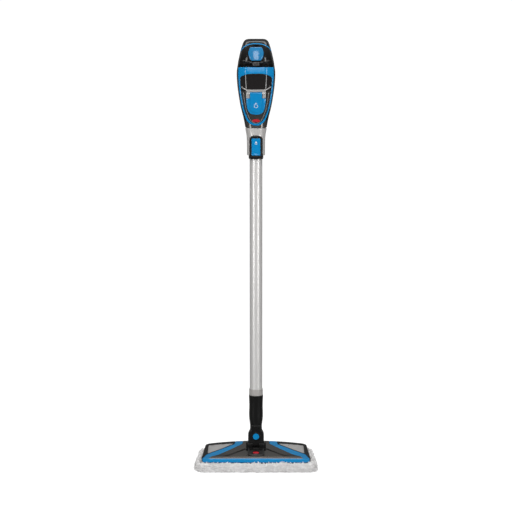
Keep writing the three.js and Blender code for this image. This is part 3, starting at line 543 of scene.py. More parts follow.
gunmetal = plastic("gunmetal_pearl", (0.17, 0.16, 0.15), 0.2, 2600, 0.04, 0.15, 0.02, coat=0.15, metal=0.85)
blue_gloss = plastic("blue_gloss", (0.0, 0.25, 0.58), 0.22, 1200, 0.03, 0.12, 0.015, coat=0.1, shine=0.32)
satin_black = plastic("satin_black", (0.006, 0.0055, 0.0055), 0.34, 1500, 0.1, 0.2, 0.02, shine=0.28)
gloss_black = plastic(
    "gloss_black", (0.006, 0.0055, 0.0055), 0.16, 1100, 0.015, 0.12, 0.015, coat=0.15, shine=0.35
)
cloudy_clear = plastic("cloudy_clear", (0.62, 0.61, 0.6), 0.28, 500, 0.3, 0.1, 0.05, coat=0.3, clear=0.25)


def foot_top(x, y):
    t = (y + 93) / 167
    return 35 + 13 * t - 9 * t * (x / 139) ** 2


def inside(points, loop):
    """Which of the points lie inside a closed outline."""
    x, y = points[:, 0], points[:, 1]
    hit = np.zeros(len(points), bool)
    for (x0, y0), (x1, y1) in zip(loop, np.roll(loop, -1, 0)):
        crosses = (y0 > y) != (y1 > y)
        with np.errstate(divide="ignore", invalid="ignore"):
            hit ^= crosses & (x < (x1 - x0) * (y - y0) / (y1 - y0) + x0)
    return hit


def reach(points, loops):
    """How far each point is from the nearest of the outlines."""
    best = np.full(len(points), 1e9)
    for loop in loops:
        for a, b in zip(loop, np.roll(loop, -1, 0)):
            side = b - a
            t = np.clip(((points - a) @ side) / max(side @ side, 1e-12), 0, 1)
            best = np.minimum(best, np.linalg.norm(points - a - t[:, None] * side, axis=1))
    return best


def inset(loop, distance):
    """An anticlockwise outline moved inwards."""
    before, after = loop - np.roll(loop, 1, 0), np.roll(loop, -1, 0) - loop
    before /= np.linalg.norm(before, axis=1)[:, None]
    after /= np.linalg.norm(after, axis=1)[:, None]
    n1, n2 = (np.column_stack([-e[:, 1], e[:, 0]]) for e in (before, after))
    return loop + (n1 + n2) / np.maximum(1 + (n1 * n2).sum(1), 0.35)[:, None] * distance


def split_long(loop, step):
    out = []
    for a, b in zip(loop, np.roll(loop, -1, 0)):
        parts = max(1, math.ceil(np.linalg.norm(b - a) / step))
        out += [a + (b - a) * k / parts for k in range(parts)]
    return np.array(out)


def plate(name, outline, top, under, holes=(), soft=1.2, step=6.0, facing="up"):
    """A plate whose face follows a surface and whose edges are rounded over. Facing up, the outline is in x and y
    and top and under give z; facing front, it is in x and z and they give y."""
    loops = [split_long(np.array(edge_line, float), step) for edge_line in (outline, *holes)]
    points, edges = [], []
    for k, loop in enumerate(loops):
        for part in (0.0, 0.134, 0.5, 1.0):
            moved = inset(loop if k == 0 else loop[::-1], part * soft)
            start = len(points)
            points += [tuple(p) for p in moved]
            edges += [(start + i, start + (i + 1) % len(moved)) for i in range(len(moved))]
    lo, hi = loops[0].min(0), loops[0].max(0)
    gx, gy = np.meshgrid(np.arange(lo[0] + step / 2, hi[0], step), np.arange(lo[1] + step / 2, hi[1], step))
    middle = np.column_stack([gx.ravel(), gy.ravel()])
    middle = middle[inside(middle, loops[0]) & (reach(middle, loops) > soft * 1.6)]
    for hole in loops[1:]:
        middle = middle[~inside(middle, hole)]
    points += [tuple(p) for p in middle]
    flat, _, triangles = delaunay_2d_cdt([Vector(p) for p in points], edges, [], 1, 1e-5)[:3]
    flat = np.array([tuple(p) for p in flat])
    triangles = np.array([t for t in triangles])
    centres = flat[triangles].mean(1)
    keep = inside(centres, loops[0])
    for hole in loops[1:]:
        keep &= ~inside(centres, hole)
    triangles = triangles[keep]
    used = np.unique(triangles)
    renumber = np.full(len(flat), -1)
    renumber[used] = np.arange(len(used))
    flat, triangles = flat[used], renumber[triangles]
    away = np.minimum(reach(flat, loops), soft)
    drop = soft - np.sqrt(np.maximum(soft**2 - (soft - away) ** 2, 0))
    u, v = flat[:, 0], flat[:, 1]
    sign = -1 if facing == "up" else 1
    face_side = top(u, v) + sign * drop
    back_side = under(u, v) + 0 * u
    if facing == "up":
        corners = np.vstack([np.column_stack([u, v, face_side]), np.column_stack([u, v, back_side])])
    else:
        corners = np.vstack([np.column_stack([u, face_side, v]), np.column_stack([u, back_side, v])])
    n = len(flat)
    faces = [tuple(t) for t in triangles] + [tuple(t[::-1] + n) for t in triangles]
    sides = {}
    for a, b, c in triangles:
        for e in ((a, b), (b, c), (c, a)):
            sides[e] = True
    for a, b in sides:
        if (b, a) not in sides:
            faces.append((b, a, a + n, b + n))
    return solid(name, corners, faces)


def mirrored(points):
    return [(-x, y) for x, y in points][::-1]


def both_sides(half):
    """A closed outline from its right half, which runs upwards."""
    return np.array(list(half) + mirrored([p for p in half if p[0] > 1e-6]), float)


FOOT_EDGE = plan(-93, 74, 147, 139, 15)
TRAY_TOP, RIM_WIDTH, SHELL_WALL = 26.3, 2.5, 3
shell_under = lambda x, y: np.where(
    reach(np.column_stack([x, y]), [FOOT_EDGE]) < RIM_WIDTH, TRAY_TOP, foot_top(x, y) - SHELL_WALL
)


def profile_bar(name, outline, axis, a, b, soft=1.0, segments=3):
    """A bar of the given outline along an axis, with rounded edges. The outline is in y and z along x, in x and z
    along y, and in x and y along z."""
    place = {
        "x": lambda u, v, e: (e, u, v),
        "y": lambda u, v, e: (u, e, v),
        "z": lambda u, v, e: (u, v, e),
    }[axis]
    made = solid(name, *skin([[place(u, v, end) for u, v in outline] for end in (a, b)]))
    if soft:
        edge_round = made.modifiers.new("edge_round", "BEVEL")
        edge_round.width, edge_round.segments, edge_round.limit_method = soft * MM, segments, "ANGLE"
        edge_round.angle_limit = math.radians(40)
        applied(made)
    return made


def circle(radius, centre=(0, 0), steps=48, start=0.0, sweep=2 * math.pi):
    return [
        (
            centre[0] + radius * math.cos(start + sweep * k / steps),
            centre[1] + radius * math.sin(start + sweep * k / steps)
        )
        for k in range(steps)
    ]


def merged(first, *others, operation="UNION"):
    """The first object joined with, or cut by, the others, which are used up."""
    for other in others:
        step = first.modifiers.new("shape", "BOOLEAN")
        step.operation, step.object, step.solver = operation, other, "EXACT"
        applied(first)
        bpy.data.objects.remove(other)
    return first


fascia_outline = both_sides([(0, -83.7), (125.4, -83.7), (36.9, 47.9), (35.8, 73.9)])
valley_half = [(0, -76), (93, -76), (30, 4), (26.7, 5), (26.7, 62.2)]
valley_slot = rounded(both_sides(valley_half), [0.1, 2, 3, 1, 1, 1, 1, 3, 2], 3)


def fascia_top(x, y):
    rise = np.clip((y + 84.5) / 7, 0, 1)
    return foot_top(x, y) + 3.2 * rise**1.2 * np.exp(-((np.maximum(y + 77.5, 0) / 20) ** 2))


fascia = plate("fascia", fascia_outline, fascia_top, shell_under, holes=[valley_slot], soft=0.9, step=3)
put(fascia, gunmetal, "foot", "gunmetal", "foot_fascia")


def panel_top(x, y):
    sunk = 0.7 + 1.8 * np.clip((84 - np.abs(x)) / 46, 0, 1)
    scoop = 0.0005 * np.clip(-10 - y, 0, 50) ** 2
    front_roll = 2.8 * np.exp(-(((y + 74) / 4.5) ** 2)) * np.clip((92 - np.abs(x)) / 12, 0, 1)
    return foot_top(x, y) - sunk - scoop + front_roll


panel_outline = inset(valley_slot, 0.15)
centre_panel = plate(
    "centre_panel", panel_outline, panel_top, lambda x, y: foot_top(x, y) - 6, soft=0.6, step=4
)
notch = profile_bar(
    "notch",
    rounded(
        [
            (-22.4, -61.4), (22.4, -61.4), (22.4, -12), (26.6, -12), (26.6, 80), (-26.6, 80), (-26.6, -12),
            (-22.4, -12)
        ],
        [10, 10, 0, 0, 0, 0, 0, 0], 8
    ),
    "z", 10, 80, 0
)
centre_panel = merged(centre_panel, notch, operation="DIFFERENCE")
put(centre_panel, gunmetal, "foot", "gunmetal", "foot_centre_panel")

trim_half = [
    (0, -92.9), (132, -92.9), (138.4, -91.4), (142.6, -87.6), (143.6, -83.4), (134, -42), (60, 46),
    (57, 73.9), (36.2, 73.9), (37.3, 48.1), (126, -84)
]
blue_trim = plate("blue_trim", both_sides(trim_half + [(0, -84)]), foot_top, shell_under, soft=1.6)
put(blue_trim, blue_gloss, "foot", "blue", "foot_blue_trim")

WINDOW = [(131, -31), (131, 62), (62, 62), (66, 46)]
right_edge = [p for p in FOOT_EDGE if p[0] > 60 and (p[1] > -84 and p[0] > 144 or p[1] > -70)]
end_outline = [(134.3, -41.8), (143.9, -83.4)] + right_edge + [(57.4, 73.9), (60.3, 46.2)]
for side, turn in (("right", 1), ("left", -1)):
    aspect = (lambda points: np.array(points, float)) if turn > 0 else (
        lambda points: np.array(mirrored(points), float)
    )
    hole = rounded(aspect(WINDOW), 2.5, 4)
    end = plate(f"end_frame_{side}", aspect(end_outline), foot_top, shell_under, holes=[hole], soft=1.8)
    put(end, satin_black, "foot", "satin_black", f"foot_end_{side}")
    pane = plate(
        f"window_{side}",
        inset(hole, -1.8),
        lambda x, y: foot_top(x, y) - 3.2 + 0.5 * np.sin(x / 3.1 + y / 7) * np.cos(y / 4.3 + x / 11),
        lambda x, y: foot_top(x, y) - 5.4,
        soft=0.4,
        step=2.5,
    )
    put(pane, cloudy_clear, "foot", "frosted_clear", f"foot_window_{side}", sharp=60)

# The black tongue in front of the swivel covers the steam inlet; a blank red badge is set in it.
badge_red = plastic("badge_red", (0.55, 0.008, 0.02), 0.3, 1200, 0.02, 0.05, 0.02, coat=0.5)
tongue_outline = rounded([(-22, -61), (22, -61), (22, -14.4), (-22, -14.4)], [10, 10, 1, 1], 8)
tongue_top = lambda x, y: 49.2 - 9.2 * np.clip((-14.4 - y) / 46.6, 0, 1) ** 1.3 - 1.6 * (x / 22) ** 2
tongue = plate("swivel_tongue", tongue_outline, tongue_top, lambda x, y: 34, soft=2.4, step=3)
put(tongue, gloss_black, "foot", "gloss_black", "foot_hub_cover")
badge = plate(
    "blank_badge",
    [(8.5 * math.cos(a), -49.5 + 5.2 * math.sin(a)) for a in np.linspace(0, 2 * math.pi, 28, endpoint=False)],
    lambda x, y: tongue_top(x, y) + 0.5,
    lambda x, y: tongue_top(x, y) - 0.6,
    soft=0.5,
    step=2,
)
put(badge, badge_red, "foot", "blue")


PITCH_Z, ROLL_Z = 55, 80
EAR_RADIUS, EAR_FOOT = 8, 27
ear_outline = [(-EAR_RADIUS, EAR_FOOT), (EAR_RADIUS, EAR_FOOT)]
ear_outline += circle(EAR_RADIUS, (0, PITCH_Z), 24, 0, math.pi) + [(-EAR_RADIUS, PITCH_Z)]
bracket = profile_bar(
    "pivot_bracket_floor", rounded([(-26, -13.4), (26, -13.4), (26, 61.8), (-26, 61.8)], 2), "z", 26.5, 29.3,
    0.5
)
bracket.name = "swivel_bracket"
for a, b in ((-22.5, -9.4), (9.4, 22.5)):
    bracket = merged(bracket, profile_bar("ear", ear_outline, "x", a, b, 1.8))
put(bracket, satin_black, "foot", "satin_black", "pivot_bracket")


# ---------------------------------------------------------------- knuckle and neck
# The glass-filled nylon knuckle pitches between the foot's two ears, and the neck's fork rolls on it. Both turn on
# hollow steel pins that carry the steam. The neck is two glossy black shells, screwed together from behind.
pin_steel = plastic("pin_steel", (0.62, 0.63, 0.64), 0.25, 700, 0.05, 0.1, 0.03, metal=1.0)
head_outline = circle(21.5, (0, ROLL_Z), 40, 0, math.pi) + [
    (-21.5, ROLL_Z), (-21.5, 62.5), (-19.5, 60.5), (19.5, 60.5), (21.5, 62.5)
]
knuckle = profile_bar("knuckle", head_outline, "y", -13, 13, 2.6, 4)
knuckle = merged(
    knuckle,
    profile_bar("hinge_space", circle(10, (0, PITCH_Z)), "x", -40, 40, 0),
    profile_bar("heel_space", [(0, 50), (30, 50), (30, 67.5), (0, 67.5)], "x", -40, 40, 0),
    operation="DIFFERENCE",
)
lug = profile_bar(
    "lug", circle(8, (0, PITCH_Z), 24, math.pi, math.pi) + [(8, PITCH_Z), (8, 70), (-8, 70)], "x", -9, 9, 0.8
)
knuckle = merged(knuckle, lug)
put(knuckle, gloss_black, "knuckle", "gloss_black", "swivel_knuckle")


def through(rows, steps):
    """A smooth run of rows through the given rows."""
    rows = np.array(rows, float)
    ends = np.vstack([2 * rows[0] - rows[1], rows, 2 * rows[-1] - rows[-2]])
    out = []
    for i in range(len(rows) - 1):
        p0, p1, p2, p3 = ends[i : i + 4]
        for k in range(steps):
            t = k / steps
            out.append(
                0.5
                * (
                    2 * p1
                    + (p2 - p0) * t
                    + (2 * p0 - 5 * p1 + 4 * p2 - p3) * t**2
                    + (3 * p1 - p0 - 3 * p2 + p3) * t**3
                )
            )
    return np.array(out + [rows[-1]])


def oval(a, b, count, power):
    t = np.linspace(0, 2 * math.pi, count, endpoint=False)
    c, s = np.cos(t), np.sin(t)
    return np.column_stack(
        [np.sign(c) * a * np.abs(c) ** (2 / power), np.sign(s) * b * np.abs(s) ** (2 / power)]
    )


def column(name, stations, count, power, steps=5):
    """A smooth column of ovals from stations of height, half width and half depth."""
    rings = [[(x, y, z) for x, y in oval(a, b, count, power)] for z, a, b in through(stations, steps)]
    return solid(name, *skin(rings))


neck = column(
    "neck",
    [
        (92, 17.2, 15.6), (98, 16.4, 16.6), (104.5, 16.0, 17.4), (111, 16.4, 18.2), (119, 17.5, 18.4),
        (128, 18.5, 18.4), (140, 18.9, 18.2), (160, 18.4, 18), (180, 18.9, 18.4), (190.4, 19.4, 18.8)
    ],
    56,
    2.15,
)
fork_outline = circle(13.5, (0, ROLL_Z), 32, math.pi, math.pi) + [(13.5, ROLL_Z), (12.4, 110), (-12.4, 110)]
for a, b in ((-18.5, -13.4), (13.4, 18.5)):
    neck = merged(neck, profile_bar("fork", fork_outline, "y", a, b, 1.3))
neck = merged(neck, profile_bar("boss", circle(12.6, (0, ROLL_Z)), "y", -20.6, -17.5, 1.0))
neck = merged(
    neck,
    profile_bar("head_space", circle(22.2, (0, ROLL_Z), 64), "y", -13.4, 13.4, 0),
    profile_bar("cap_seat", circle(8.8, (0, ROLL_Z)), "y", -30, -18.7, 0),
    profile_bar("socket", circle(14.4), "z", 126, 200, 0),
    profile_bar("snap_hole", circle(4.3, (0, 155)), "y", 10, 30, 0),
    profile_bar("seam_left", [(-30, 109), (-18.0, 109), (-18.0, 195), (-30, 195)], "y", -0.15, 0.15, 0),
    profile_bar("seam_right", [(18.0, 109), (30, 109), (30, 195), (18.0, 195)], "y", -0.15, 0.15, 0),
    operation="DIFFERENCE",
)
neck_black = plastic("neck_black", (0.005, 0.0048, 0.0048), 0.28, 1300, 0.04, 0.2, 0.015, shine=0.28)
put(neck, neck_black, "neck", "satin_black", "neck_front_shell", "neck_rear_shell")
cap = profile_bar("roll_cap", circle(8.4, (0, ROLL_Z)), "y", -21.2, -18.8, 0.7)
put(cap, blue_gloss, "neck", "blue", "roll_pin_cap")
snap = profile_bar("snap_button", circle(3.9, (0, 155)), "y", 10.6, 20.4, 1.2)
put(snap, satin_black, "snap_button", "satin_black", "neck_snap_button")


# ---------------------------------------------------------------- wand
# A painted aluminium tube with a moulded plug at its foot and a silver-grey collar at its head. A black
# escutcheon on the collar frames the blue button that lets the handset go.
def turned(name, profile, sides=64):
    """A turned piece from a closed profile of radius and height."""
    rings = [
        [(r * math.cos(t), r * math.sin(t), z) for t in np.linspace(0, 2 * math.pi, sides, endpoint=False)]
        for r, z in profile + profile[:1]
    ]
    return solid(name, *skin(rings, capped=False))


tube_paint = plastic("tube_paint", (0.76, 0.75, 0.735), 0.33, 3000, 0.03, 0.15, 0.03, coat=0.25, metal=0.3)
tube = turned("tube", [(17, 191.6), (17, 847.8), (15.8, 847.8), (15.8, 191.6)], 72)
put(tube, tube_paint, "wand", "silver_tube", "wand_tube")
grey_fitting = plastic("grey_fitting", (0.44, 0.42, 0.4), 0.38, 1500, 0.06, 0.2, 0.04, coat=0.1)
fitting = turned(
    "end_fitting",
    [
        (14, 126.5), (14, 190.9), (17.9, 190.9), (18.5, 191.5), (18.5, 208.2), (18.1, 208.7), (17.2, 208.7),
        (17.2, 192), (11.5, 192), (11.5, 126.5)
    ]
)
fitting = merged(
    fitting, profile_bar("keyway", [(-5.4, 120), (5.4, 120), (5.4, 161), (-5.4, 161)], "y", 9, 30, 0),
    operation="DIFFERENCE"
)
put(fitting, grey_fitting, "wand", "warm_grey", "wand_end_fitting")

collar_silver = plastic(
    "collar_silver", (0.6, 0.585, 0.57), 0.32, 1800, 0.04, 0.2, 0.03, coat=0.2, metal=0.15
)
collar = column(
    "collar",
    [
        (836.2, 23.4, 20.8), (838, 24, 21.5), (860, 24.2, 21.7), (878, 24.5, 22), (888, 25.2, 22.4),
        (897, 26.5, 23.4), (903, 27.8, 24.3), (908, 28.4, 25)
    ],
    64, 2.25
)
collar = merged(
    collar,
    profile_bar("tube_bore", circle(17.3), "z", 800, 848.3, 0),
    profile_bar("spigot_bore", circle(14.4), "z", 852, 950, 0),
    profile_bar("pipe_bore", circle(4.4), "z", 840, 870, 0),
    operation="DIFFERENCE",
)
put(collar, collar_silver, "wand", "silver_plastic", "wand_collar")

arch_half = [(17.8, 826.5), (17.8, 878)] + [
    (17.8 * math.cos(a) ** 0.8, 878 + 11 * math.sin(a) ** 0.9)
    for a in np.linspace(0.12, math.pi / 2 - 0.08, 9)
] + [(0, 889)]
arch = [(0, 826.5)] + arch_half
escutcheon_front = lambda x, z: -25.2 + 0.9 * (x / 17.8) ** 2
button_slot = rounded([(-12.1, 835.6), (12.1, 835.6), (12.1, 881.4), (-12.1, 881.4)], 2)
escutcheon = plate(
    "escutcheon", both_sides(arch), escutcheon_front, lambda x, z: -17.6 + 0 * x, holes=[button_slot],
    soft=2.0, step=3, facing="front"
)
put(escutcheon, satin_black, "wand", "satin_black", "button_escutcheon")
ring = turned(
    "collar_ring", [(17.3, 826.6), (19.2, 826.6), (19.6, 827), (19.6, 835.2), (19.2, 835.7), (17.3, 835.7)]
)
put(ring, satin_black, "wand", "satin_black")
BUTTON_HALF, BUTTON_FOOT, BUTTON_HEAD, BUTTON_FRONT, BUTTON_BACK = 11.7, 836, 881, -27.2, -23.3
button_face = lambda x, z: BUTTON_FRONT + 1.1 * np.exp(-(((z - 843) / 5) ** 2)) + 0.9 * (x / BUTTON_HALF) ** 2
button_outline = [
    (-BUTTON_HALF, BUTTON_FOOT), (BUTTON_HALF, BUTTON_FOOT), (BUTTON_HALF, BUTTON_HEAD), (-BUTTON_HALF, BUTTON_HEAD)
]
button = plate(
    "release_button", rounded(button_outline, 1.8), button_face,
    lambda x, z: BUTTON_BACK, soft=1.2, step=2.4, facing="front"
)
put(button, blue_gloss, "release_button", "blue", "wand_release_button")
print_white = plastic("print_white", (0.86, 0.86, 0.86), 0.45, 900, 0.02, 0.0, 0.02)
for label, mark_outline in (
    ("arrow", [(-3.2, 868.6), (3.2, 868.6), (0, 873.6)]),
    ("bar", [(-3.2, 865.6), (3.2, 865.6), (3.2, 866.8), (-3.2, 866.8)])
):
    mark = plate(
        f"release_{label}", mark_outline, lambda x, z: button_face(x, z) - 0.15,
        lambda x, z: button_face(x, z) + 0.2, soft=0.05, step=1.5, facing="front"
    )
    put(mark, print_white, "release_button", "blue")


# ---------------------------------------------------------------- handset housing
# Two glossy black shells, left and right, moulded in one with the loop handle and screwed together. The nose
# cover is a separate gloss moulding with a blue line round it, and the lower bezel is gunmetal.
BASE = round(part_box("lower_bezel")[0][2] / MM, 1)
BODY = through(
    [
        (0, 28.5, -25, 25), (26, 33, -28, 29), (58, 40.6, -32, 34), (90, 46, -35, 37), (120, 49.8, -37, 38),
        (150, 51.3, -38, 38), (171, 48.7, -40, 38), (182, 46.9, -43, 37), (200, 43, -40, 35),
        (215, 39.2, -33, 32), (230, 34, -20.5, 28), (236, 30, -12.5, 23), (239, 25, -7, 18), (240, 20, -4, 14)
    ],
    6
)
HANDLE = through(
    [
        (5, 214, 34, 15), (35, 219, 30, 14.5), (66, 208, 22, 14), (86, 182, 17, 14), (92, 145, 16, 14),
        (86, 108, 16, 14), (68, 74, 16.5, 14), (40, 50, 18, 14), (20, 38, 20, 14)
    ],
    8
)


def body_shape(name, extra=0.0):
    rings = []
    for z, a, front, back in BODY:
        rings.append(
            [
                (x, y + (front + back) / 2, z + BASE)
                for x, y in oval(a + extra, (back - front) / 2 + extra, 96, 2.6)
            ]
        )
    return solid(name, *skin(rings))


def handle_shape(name, extra=0.0, rows=slice(None)):
    rings = []
    ways = np.gradient(HANDLE[:, :2], axis=0)
    ways /= np.linalg.norm(ways, axis=1)[:, None]
    for (y, z, a, b), (dy, dz) in list(zip(HANDLE, ways))[rows]:
        rings.append(
            [(x, y - dz * out, z + dy * out + BASE) for x, out in oval(a + extra, b + extra, 48, 2.5)]
        )
    return solid(name, *skin(rings))


def body_front(x, z):
    """The y of the housing's front face."""
    a, front, back = (np.interp(z - BASE, BODY[:, 0], BODY[:, k]) for k in (1, 2, 3))
    inside_width = np.clip(np.abs(x) / a, 0, 0.995)
    return (front + back) / 2 - (back - front) / 2 * (1 - inside_width**2.6) ** (1 / 2.6)


housing = body_shape("handset_housing")
bpy.context.view_layer.update()
handle = handle_shape("handle")
housing = merged(housing, handle)
even = housing.modifiers.new("even_mesh", "REMESH")
even.mode, even.voxel_size = "VOXEL", 0.0013
ease = housing.modifiers.new("ease", "SMOOTH")
ease.factor, ease.iterations = 0.5, 24
applied(housing)


def shifted(points):
    """Points of an outline with their heights counted from the foot of the handset."""
    return [(x, z + BASE) for x, z in points]


tank_side = through(
    [
        (0, 6.5), (7, 7.3), (15.5, 11.2), (23.8, 20), (31, 38), (37.5, 61), (43.5, 98), (46.6, 136),
        (46.8, 150)
    ],
    5
)
TANK_EDGE = both_sides(shifted([tuple(p) for p in tank_side] + [(46.8, 163.5), (45.8, 165)]))
window_side = through(
    [(0, 12.6), (6, 13.2), (12.5, 16.2), (20, 24), (27.4, 40.5), (33.6, 62), (39.4, 98), (42, 128)], 5
)
window_top = [(42, 134.5), (40.8, 138.4), (37, 142), (31, 144.8), (20, 147.3), (9, 148)]
WINDOW_EDGE = both_sides(shifted([tuple(p) for p in window_side] + window_top))
nose_side = through([(60, 178), (50, 190), (42, 203), (36.5, 211.5), (29, 218.4), (19, 223), (8, 225.3)], 4)


def nose_zone(name, extra, back):
    edge_line = both_sides(shifted([(60, 170)] + [tuple(p) for p in nose_side]))
    return profile_bar(name, inset(edge_line, -extra), "y", -90, back, 0)


def box(name, x0, x1, y0, y1, z0, z1):
    return profile_bar(
        name, [(x0, z0 + BASE), (x1, z0 + BASE), (x1, z1 + BASE), (x0, z1 + BASE)], "y", y0, y1, 0
    )


nose = merged(body_shape("nose_cover"), nose_zone("zone", 0, 2), operation="INTERSECT")
nose = merged(
    nose,
    box("above_recess", -60, 60, -90, 5, 150, 174.2),
    box("latch_gap", -9.6, 9.6, -90, -33.4, 150, 181.8),
    profile_bar(
        "pill", rounded(shifted([(-8, 218.8), (8, 218.8), (8, 223), (-8, 223)]), 2.0), "y", -60, -14, 0
    ),
    operation="DIFFERENCE",
)
blue_line = merged(body_shape("nose_blue_line"), nose_zone("zone", 2.6, 2), operation="INTERSECT")
blue_line = merged(
    blue_line, nose_zone("inner", 0.3, 4), box("lower_end", -90, 90, -90, 4, 120, 186), operation="DIFFERENCE"
)
brow = merged(
    body_shape("nose_brow"), nose_zone("nose_space", 2.9, 4), box("behind", -80, 80, 2.1, 90, -10, 260),
    box("below", -80, 80, -90, 90, -10, 178.3), operation="DIFFERENCE"
)
bezel = merged(body_shape("lower_bezel_face"), box("zone", -60, 60, -90, -16, -10, 20), operation="INTERSECT")
bezel = merged(bezel, profile_bar("bay", inset(TANK_EDGE, -0.5), "y", -90, -5, 0), operation="DIFFERENCE")
housing = merged(
    housing,
    box("brow_space", -80, 80, -90, 2.0, 174.5, 260),
    profile_bar("tank_bay", inset(TANK_EDGE, -0.5), "y", -90, -11.3, 0),
    box("recess", -60, 60, -90, -34, 158, 175),
    box("bezel_space", -60, 60, -90, -15.7, -10, 20.3),
    box("trigger_slot", -9.2, 9.2, 55, 85, 147.8, 182.5),
    profile_bar("spigot_hole", circle(14.5), "z", BASE - 10, BASE + 12, 0),
    box("seam", -0.15, 0.15, 3, 140, -10, 260),
    operation="DIFFERENCE",
)
housing_black = plastic("housing_black", (0.004, 0.0038, 0.0038), 0.15, 1400, 0.04, 0.15, 0.015, shine=0.3)
put(housing, housing_black, "handset", "gloss_black", "housing_left", "housing_right")
put(brow, housing_black, "handset", "gloss_black")
put(nose, gloss_black, "handset", "gloss_black", "nose_cover")
put(blue_line, blue_gloss, "handset", "blue", "nose_blue_trim")
put(bezel, gunmetal, "handset", "gunmetal", "lower_bezel")

# A clear blue lens lights up when there is steam. Below it the nose ends in a rolled lip, left and right of the
# latch.
lens_blue = plastic("lens_blue", (0.01, 0.2, 0.45), 0.2, 700, 0.01, 0.05, 0.01, coat=0.3)
lens_side = through(
    [
        (0, 182.2), (10.5, 182.2), (13.6, 183.4), (15.8, 186.5), (18.8, 193.5), (20.2, 201), (19.4, 208),
        (17.2, 213.6), (15.4, 216.4), (12.6, 217.5), (6, 217.6)
    ],
    3
)
lens_face = lambda x, z: body_front(x, z) - 2.9 + 1.4 * (x / 20) ** 2
lens = plate(
    "steam_lens", both_sides(shifted([tuple(p) for p in lens_side])), lens_face,
    lambda x, z: body_front(x, z) + 2.5, soft=1.4, step=2.4, facing="front"
)
put(lens, lens_blue, "handset", "blue_lens", "indicator_lens")


def roll(name, path, radii, sides=14):
    """A round roll along a path, with a radius at each of its points."""
    path = np.array(path, float)
    ways = np.gradient(path, axis=0)
    ways /= np.linalg.norm(ways, axis=1)[:, None]
    rings = []
    side = None
    for p, way, r in zip(path, ways, radii):
        across = np.cross(way, (0, 0, 1)) if abs(way[2]) < 0.9 else np.cross(way, (0, 1, 0))
        if side is not None and across @ side < 0:
            across = -across
        across /= np.linalg.norm(across)
        side, second = across, np.cross(way, across)
        rings.append(
            [
                p + r * (math.cos(t) * across + math.sin(t) * second)
                for t in np.linspace(0, 2 * math.pi, sides, endpoint=False)
            ]
        )
    return solid(name, *skin(rings))


lip_x = np.linspace(-37, 37, 41)
for side, rows in (("left", lip_x < -9.8), ("right", lip_x > 9.8)):
    xs = lip_x[rows]
    zs = BASE + 176.8 + 5.6 * (xs / 37) ** 2
    lip = roll(
        f"nose_lip_{side}", np.column_stack([xs, body_front(xs, zs) + 0.2, zs]),
        3.2 * np.sqrt(np.clip(1.05 - ((np.abs(xs) - 20) / 18) ** 2, 0.03, 1))
    )
    put(lip, gloss_black, "handset", "gloss_black")


# ---------------------------------------------------------------- grip, trigger, latch and screws
# The back of the handle is over-moulded in soft black rubber, and the blue trigger pivots in the inside of the
# loop. The latch above the tank is a ribbed black slider. Three cross-head screws hold the shells together.
rubber_black = plastic("rubber_black", (0.018, 0.018, 0.018), 0.62, 2200, 0.25, 0.1, 0.08)
grip = handle_shape("grip_skin", 1.1, slice(26, 42))
grip = merged(grip, box("back_half", -60, 60, 91.5, 150, 60, 230), operation="INTERSECT")
grip = merged(grip, handle_shape("core", -1.5, slice(24, 44)), operation="DIFFERENCE")
put(grip, rubber_black, "handset", "rubber", "grip_overmould")

ribs_tree, gi, go = geometry_tree(
    "ribs", ("Count", 5), ("Pitch", 0.003), ("Width", 0.0014), ("Height", 0.008), ("Depth", 0.0016)
)
row = node(ribs_tree, "GeometryNodeMeshLine")
one = node(ribs_tree, "GeometryNodeMeshCube")
one_size, pitch = node(ribs_tree, "ShaderNodeCombineXYZ"), node(ribs_tree, "ShaderNodeCombineXYZ")
to_start, start_at = node(ribs_tree, "GeometryNodeTransform"), node(ribs_tree, "ShaderNodeCombineXYZ")
on_row = node(ribs_tree, "GeometryNodeInstanceOnPoints")
real = node(ribs_tree, "GeometryNodeRealizeInstances")
latch_black = plastic("latch_black", (0.03, 0.029, 0.028), 0.25, 1500, 0.04, 0.3, 0.03, coat=0.5)
paint = node(ribs_tree, "GeometryNodeSetMaterial", Material=latch_black)
span = calc(
    ribs_tree, "MULTIPLY",
    calc(ribs_tree, "MULTIPLY", calc(ribs_tree, "SUBTRACT", gi.outputs["Count"], 1.0), gi.outputs["Pitch"]),
    -0.5
)
linked(
    ribs_tree,
    (gi.outputs["Count"], row.inputs["Count"]),
    (gi.outputs["Pitch"], pitch.inputs["X"]),
    (pitch.outputs[0], row.inputs["Offset"]),
    (gi.outputs["Width"], one_size.inputs["X"]),
    (gi.outputs["Depth"], one_size.inputs["Y"]),
    (gi.outputs["Height"], one_size.inputs["Z"]),
    (one_size.outputs[0], one.inputs["Size"]),
    (row.outputs["Mesh"], to_start.inputs["Geometry"]),
    (span, start_at.inputs["X"]),
    (start_at.outputs[0], to_start.inputs["Translation"]),
    (to_start.outputs["Geometry"], on_row.inputs["Points"]),
    (one.outputs["Mesh"], on_row.inputs["Instance"]),
    (on_row.outputs["Instances"], real.inputs["Geometry"]),
    (real.outputs["Geometry"], paint.inputs["Geometry"]),
    (paint.outputs["Geometry"], go.inputs["Mesh"]),
)


def rib_row(name, place, turn=0.0, **sizes):
    """A row of ribs made by the tree, moved to its place and with its edges rounded."""
    made = grow(solid(name, [(0, 0, 0), (1, 0, 0), (0, 1, 0)], [(0, 1, 2)]), ribs_tree, **sizes)
    c, s = math.cos(turn), math.sin(turn)
    for vertex in made.data.vertices:
        x, y, z = vertex.co
        vertex.co = (x + place[0] * MM, y * c - z * s + place[1] * MM, y * s + z * c + place[2] * MM)
    edge_round = made.modifiers.new("edge_round", "BEVEL")
    edge_round.width, edge_round.segments = min(sizes["Width"], sizes["Depth"]) * 0.3, 2
    return applied(made)


